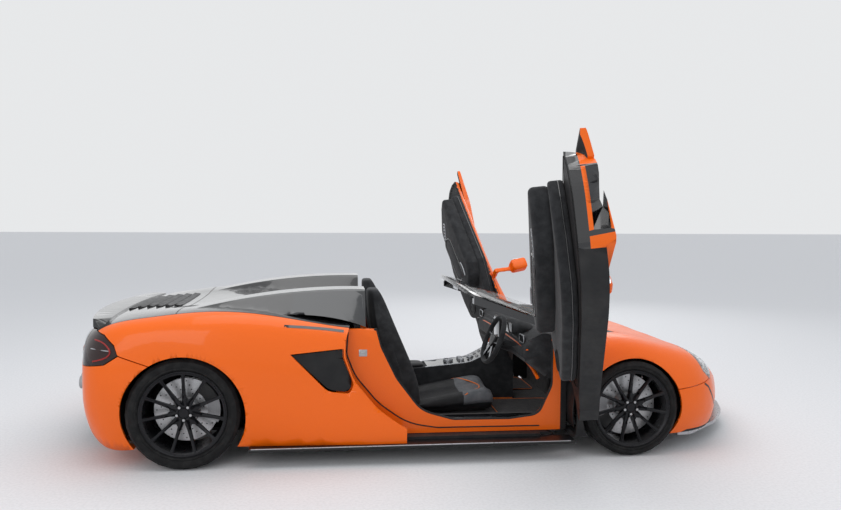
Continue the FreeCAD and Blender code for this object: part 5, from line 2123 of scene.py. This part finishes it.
@dataclass
class Trim:
    """Strips, grilles, exhausts, number plate, louvres, wiper and mirrors on the outside."""

    belt_line: tuple = ((0.575, 0.826), (0.70, 0.815), (0.82, 0.802), (0.925, 0.787))
    """The strip below the deck: x and z."""
    gap_line: tuple = ((3.205, 0.430), (3.250, 0.400), (3.290, 0.340), (3.330, 0.270))
    # The line of the dark strip painted as shade in the gap below the head lamp: x and z.
    """The gap below the head lamp: x and z."""
    tip_places: tuple = (-0.385, -0.285, 0.285, 0.385)
    tip_height: float = 0.408
    louvre_count: int = 6
    louvre_start: float = -0.440
    louvre_pitch: float = 0.060
    louvre_half: Pair = (0.300, 0.012)
    """The rear louvre's half width, and how much each next one gains."""
    mirror_middle: Pair = (2.010, 0.850)
    mirror_shell_y: float = 0.965
    """Where the mirror's stalk ends and its shell begins."""

    def build(self) -> None:
        """Builds everything."""
        for side in Side:
            self.flank(side)
            self.mirror(side)
        self.grilles()
        self.exhausts()
        self.louvres()
        self.wiper()
        self.plates()

    def strip(self, name: str, skin: Surface, line: Sequence[Pair], side: Side, height: float, lift: float,
              finish: Finish) -> None:
        """Lays a flat strip on the flank along a line of (x, z).

        Args:
            name: The strip's name.
            skin: The panels it lies on.
            line: Its middle line.
            side: The car's side.
            height: How wide the strip is.
            lift: How far it stands out.
            finish: Its finish.
        """
        fine = []
        for (x0, z0), (x1, z1) in zip(line, line[1:]):
            fine += [(x0 + (x1 - x0) * step / 8, z0 + (z1 - z0) * step / 8) for step in range(8)]
        fine.append(line[-1])
        sections = []
        for index, (x, z) in enumerate(fine):
            x0, z0 = fine[max(index - 1, 0)]
            x1, z1 = fine[min(index + 1, len(fine) - 1)]
            way = Vector((x1 - x0, z1 - z0)).normalized()
            up = Vector((-way.y, way.x)) * (height / 2)
            ring = []
            for sign, out in ((1, lift), (-1, lift), (-1, -0.004), (1, -0.004)):
                place = skin.side(x + sign * up.x, z + sign * up.y, side)
                ring.append((place[0], place[1] + side.value * out, place[2]))
            sections.append(ring)
        finished(Bench.lofted(f"{name}_{side.word}", sections), finish, "car")

    def flank(self, side: Side) -> None:
        """The strips along one side.

        Args:
            side: The car's side.
        """
        rear = Surface("rear_wings", "rear_bumper")
        self.strip("belt_strip", rear, self.belt_line, side, 0.014, 0.002, GLOSS_BLACK)
        front = Surface("front_wings", "front_bumper")
        # The dark strip below the head lamp is painted shade standing for the gap there.
        self.strip("lamp_gap", front, self.gap_line, side, 0.012, 0.001, SATIN_BLACK)
        line = [(along(x), side.value * 0.9435, 0.1165) for x in (0.385, 1.0, 1.6, 2.30)]
        finished(Bench.rod(f"skirt_edge_{side.word}", line, 0.0035, 8), SILVER, "car")

    def mirror(self, side: Side) -> None:
        """Rounds the door mirror's shell and stalk, and sets its glass.

        Args:
            side: The door's side.
        """
        door = DoorGeometry(side)
        shut = door.opened().inverted()
        shell = Panels().carry(f"mirror_{side.word}", ORANGE)
        Bench.modify(shell, "REMESH", mode="VOXEL", voxel_size=0.006)
        Bench.modify(shell, "SMOOTH", factor=0.6, iterations=10)
        Bench.smooth(shell, 80)
        for vert in shell.data.vertices:
            place = shut @ vert.co
            out = abs(place.y)
            if out > self.mirror_shell_y:
                x, z = self.mirror_middle
                ahead = (place.x - along(x)) / 0.050
                place.z = z + (place.z - z) * (1.0 - 0.22 * max(ahead, 0.0))
                place.z += 0.010 * (out - 1.03) / 0.06
                vert.co = door.opened() @ place
        corners = ((0.972, 0.814, 0.02), (1.084, 0.818, 0.02), (1.086, 0.888, 0.02), (0.976, 0.884, 0.02))
        line = [door.place(1.9585, y, z) for y, z in rounded(corners)]
        glass = Bench.plate(f"mirror_glass_{side.word}", line, Vector((0.004, 0.0, 0.0)), 0.001, 2)
        finished(Bench.moved(glass, door.opened()), MIRROR_GLASS, door.body)

    def grille(self, name: str, columns: int, rows: int, spot: Callable[[float, float], Point],
               thickness: float) -> None:
        """A woven grille laid over a curved face, with a dark sheet behind it: painted shade that fills its
        openings.

        Args:
            name: The grille's name.
            columns: How many meshes it has across.
            rows: How many it has up.
            spot: Gives the place for two shares from 0 to 1.
            thickness: The wires' thickness.
        """
        Bench.clear()
        bpy.ops.mesh.primitive_grid_add(x_subdivisions=columns, y_subdivisions=rows, size=1.0)
        sheet = bpy.context.object
        for vert in sheet.data.vertices:
            vert.co = spot(vert.co.x + 0.5, vert.co.y + 0.5)
        wires = Bench.copied(sheet, f"{name}_wires")
        sheet.name = f"{name}_sheet"
        Bench.modify(sheet, "SOLIDIFY", thickness=0.002, offset=0.0)
        Bench.modify(wires, "WIREFRAME", thickness=thickness, use_even_offset=False)
        # The dark sheet is painted shade: it fills the grille's openings where the depth behind would lie in
        # shade.
        finished(sheet, SATIN_BLACK, "car")
        finished(wires, GLOSS_BLACK, "car")

    def grilles(self) -> None:
        """Grilles in the nose's two mouths and across the tail."""
        mouths = Surface("side_intakes")
        for side in Side:
            self.grille(f"mouth_{side.word}", 20, 8, lambda u, v: mouths.end(
                side.value * (0.475 + 0.225 * u), 0.186 + 0.080 * v, 1, 0.002), 0.0035)
        tail = Surface("rear_bumper", "engine_deck")
        self.grille("tail", 56, 7, lambda u, v: tail.end(
            -0.56 + 1.12 * u, 0.520 + 0.110 * v, -1, 0.003), 0.0045)

    def exhausts(self) -> None:
        """Two pairs of round exhaust tips in the tail's lower part, each closed by a dark plug of painted
        shade.
        """
        tail = Surface("rear_bumper")
        tips, holes = [], []
        for y in self.tip_places:
            x, _, z = tail.end(y, self.tip_height, -1)
            for name, pieces, steps, profile in (
                    ("tip", tips, 36, ((0.020, 0.034), (-0.016, 0.038), (-0.020, 0.0405), (-0.016, 0.043),
                                       (0.020, 0.043))),
                    ("hole", holes, 28, ((-0.010, 0.0005), (-0.010, 0.0355), (0.010, 0.0355),
                                         (0.010, 0.0005)))):
                points = [(x + ahead, y, z + radius) for ahead, radius in profile]
                pieces.append(Bench.spun(name, points, (x, y, z), (1.0, 0.0, 0.0), steps))
        finished(Bench.join("exhaust_tips", tips), DISC_IRON, "car")
        # The dark plugs in the tips are painted shade standing for the inside of the pipes.
        finished(Bench.join("exhaust_holes", holes), SATIN_BLACK, "car")

    def louvres(self) -> None:
        """Slats over the engine in the rear deck."""
        deck = Surface("engine_deck", "tonneau")
        for index in range(self.louvre_count):
            x = self.louvre_start + self.louvre_pitch * index
            half = self.louvre_half[0] + self.louvre_half[1] * index
            sections = []
            for step in range(13):
                y = -half + 2 * half * step / 12
                low = deck.top(x - 0.020, y)
                high = deck.top(x + 0.020, y)
                sections.append([(low[0], y, low[2] + 0.0005), (low[0], y, low[2] + 0.012),
                                 (high[0], y, high[2] + 0.004), (high[0], y, high[2] - 0.002)])
            finished(Bench.lofted(f"deck_louvre_{index}", sections), SATIN_BLACK, "car")

    def wiper(self) -> None:
        """One long wiper at rest along the screen's foot."""
        glass = Surface("windscreen")
        blade = [glass.top(x, y, 0.010) for x, y in
                 ((2.480, -0.380), (2.440, -0.120), (2.430, 0.140), (2.452, 0.340))]
        finished(Bench.rod("wiper_blade", blade, 0.005, 8), SATIN_BLACK, "car")
        foot = Surface("scuttle").top(2.560, -0.150, 0.004)
        arm = [foot, (foot[0] - 0.020, foot[1] + 0.03, foot[2] + 0.022), glass.top(2.450, 0.040, 0.018),
               glass.top(2.432, 0.120, 0.013)]
        finished(Bench.rod("wiper_arm", arm, 0.006, 8), SATIN_BLACK, "car")

    def plates(self) -> None:
        """A blank number plate on its holder at the tail."""
        tail = Surface("rear_bumper")
        x = min(tail.end(y, z, -1)[0] for y in (-0.19, 0.0, 0.19) for z in (0.40, 0.46, 0.50))
        holder = Bench.block("plate_holder", (x - 0.006, -0.200, 0.390), (x + 0.020, 0.200, 0.505), 0.003)
        finished(holder, SATIN_BLACK, "car")
        blank = Bench.block("plate_blank", (x - 0.0085, -0.186, 0.398), (x - 0.005, 0.186, 0.498), 0.001)
        finished(blank, LAMP_WHITE, "car")


def build_car() -> None:
    """Builds and dresses the whole car, one sub-assembly after another."""
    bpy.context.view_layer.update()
    for assembly in (Panels(), Doors(), Apertures(), Wheels(), Seats(), SteeringWheel(), Cabin(), Lamps(),
                     Trim(), Studio()):
        assembly.build()
        log.info("built %s", type(assembly).__name__)


if __name__ == "__main__":
    build_car()
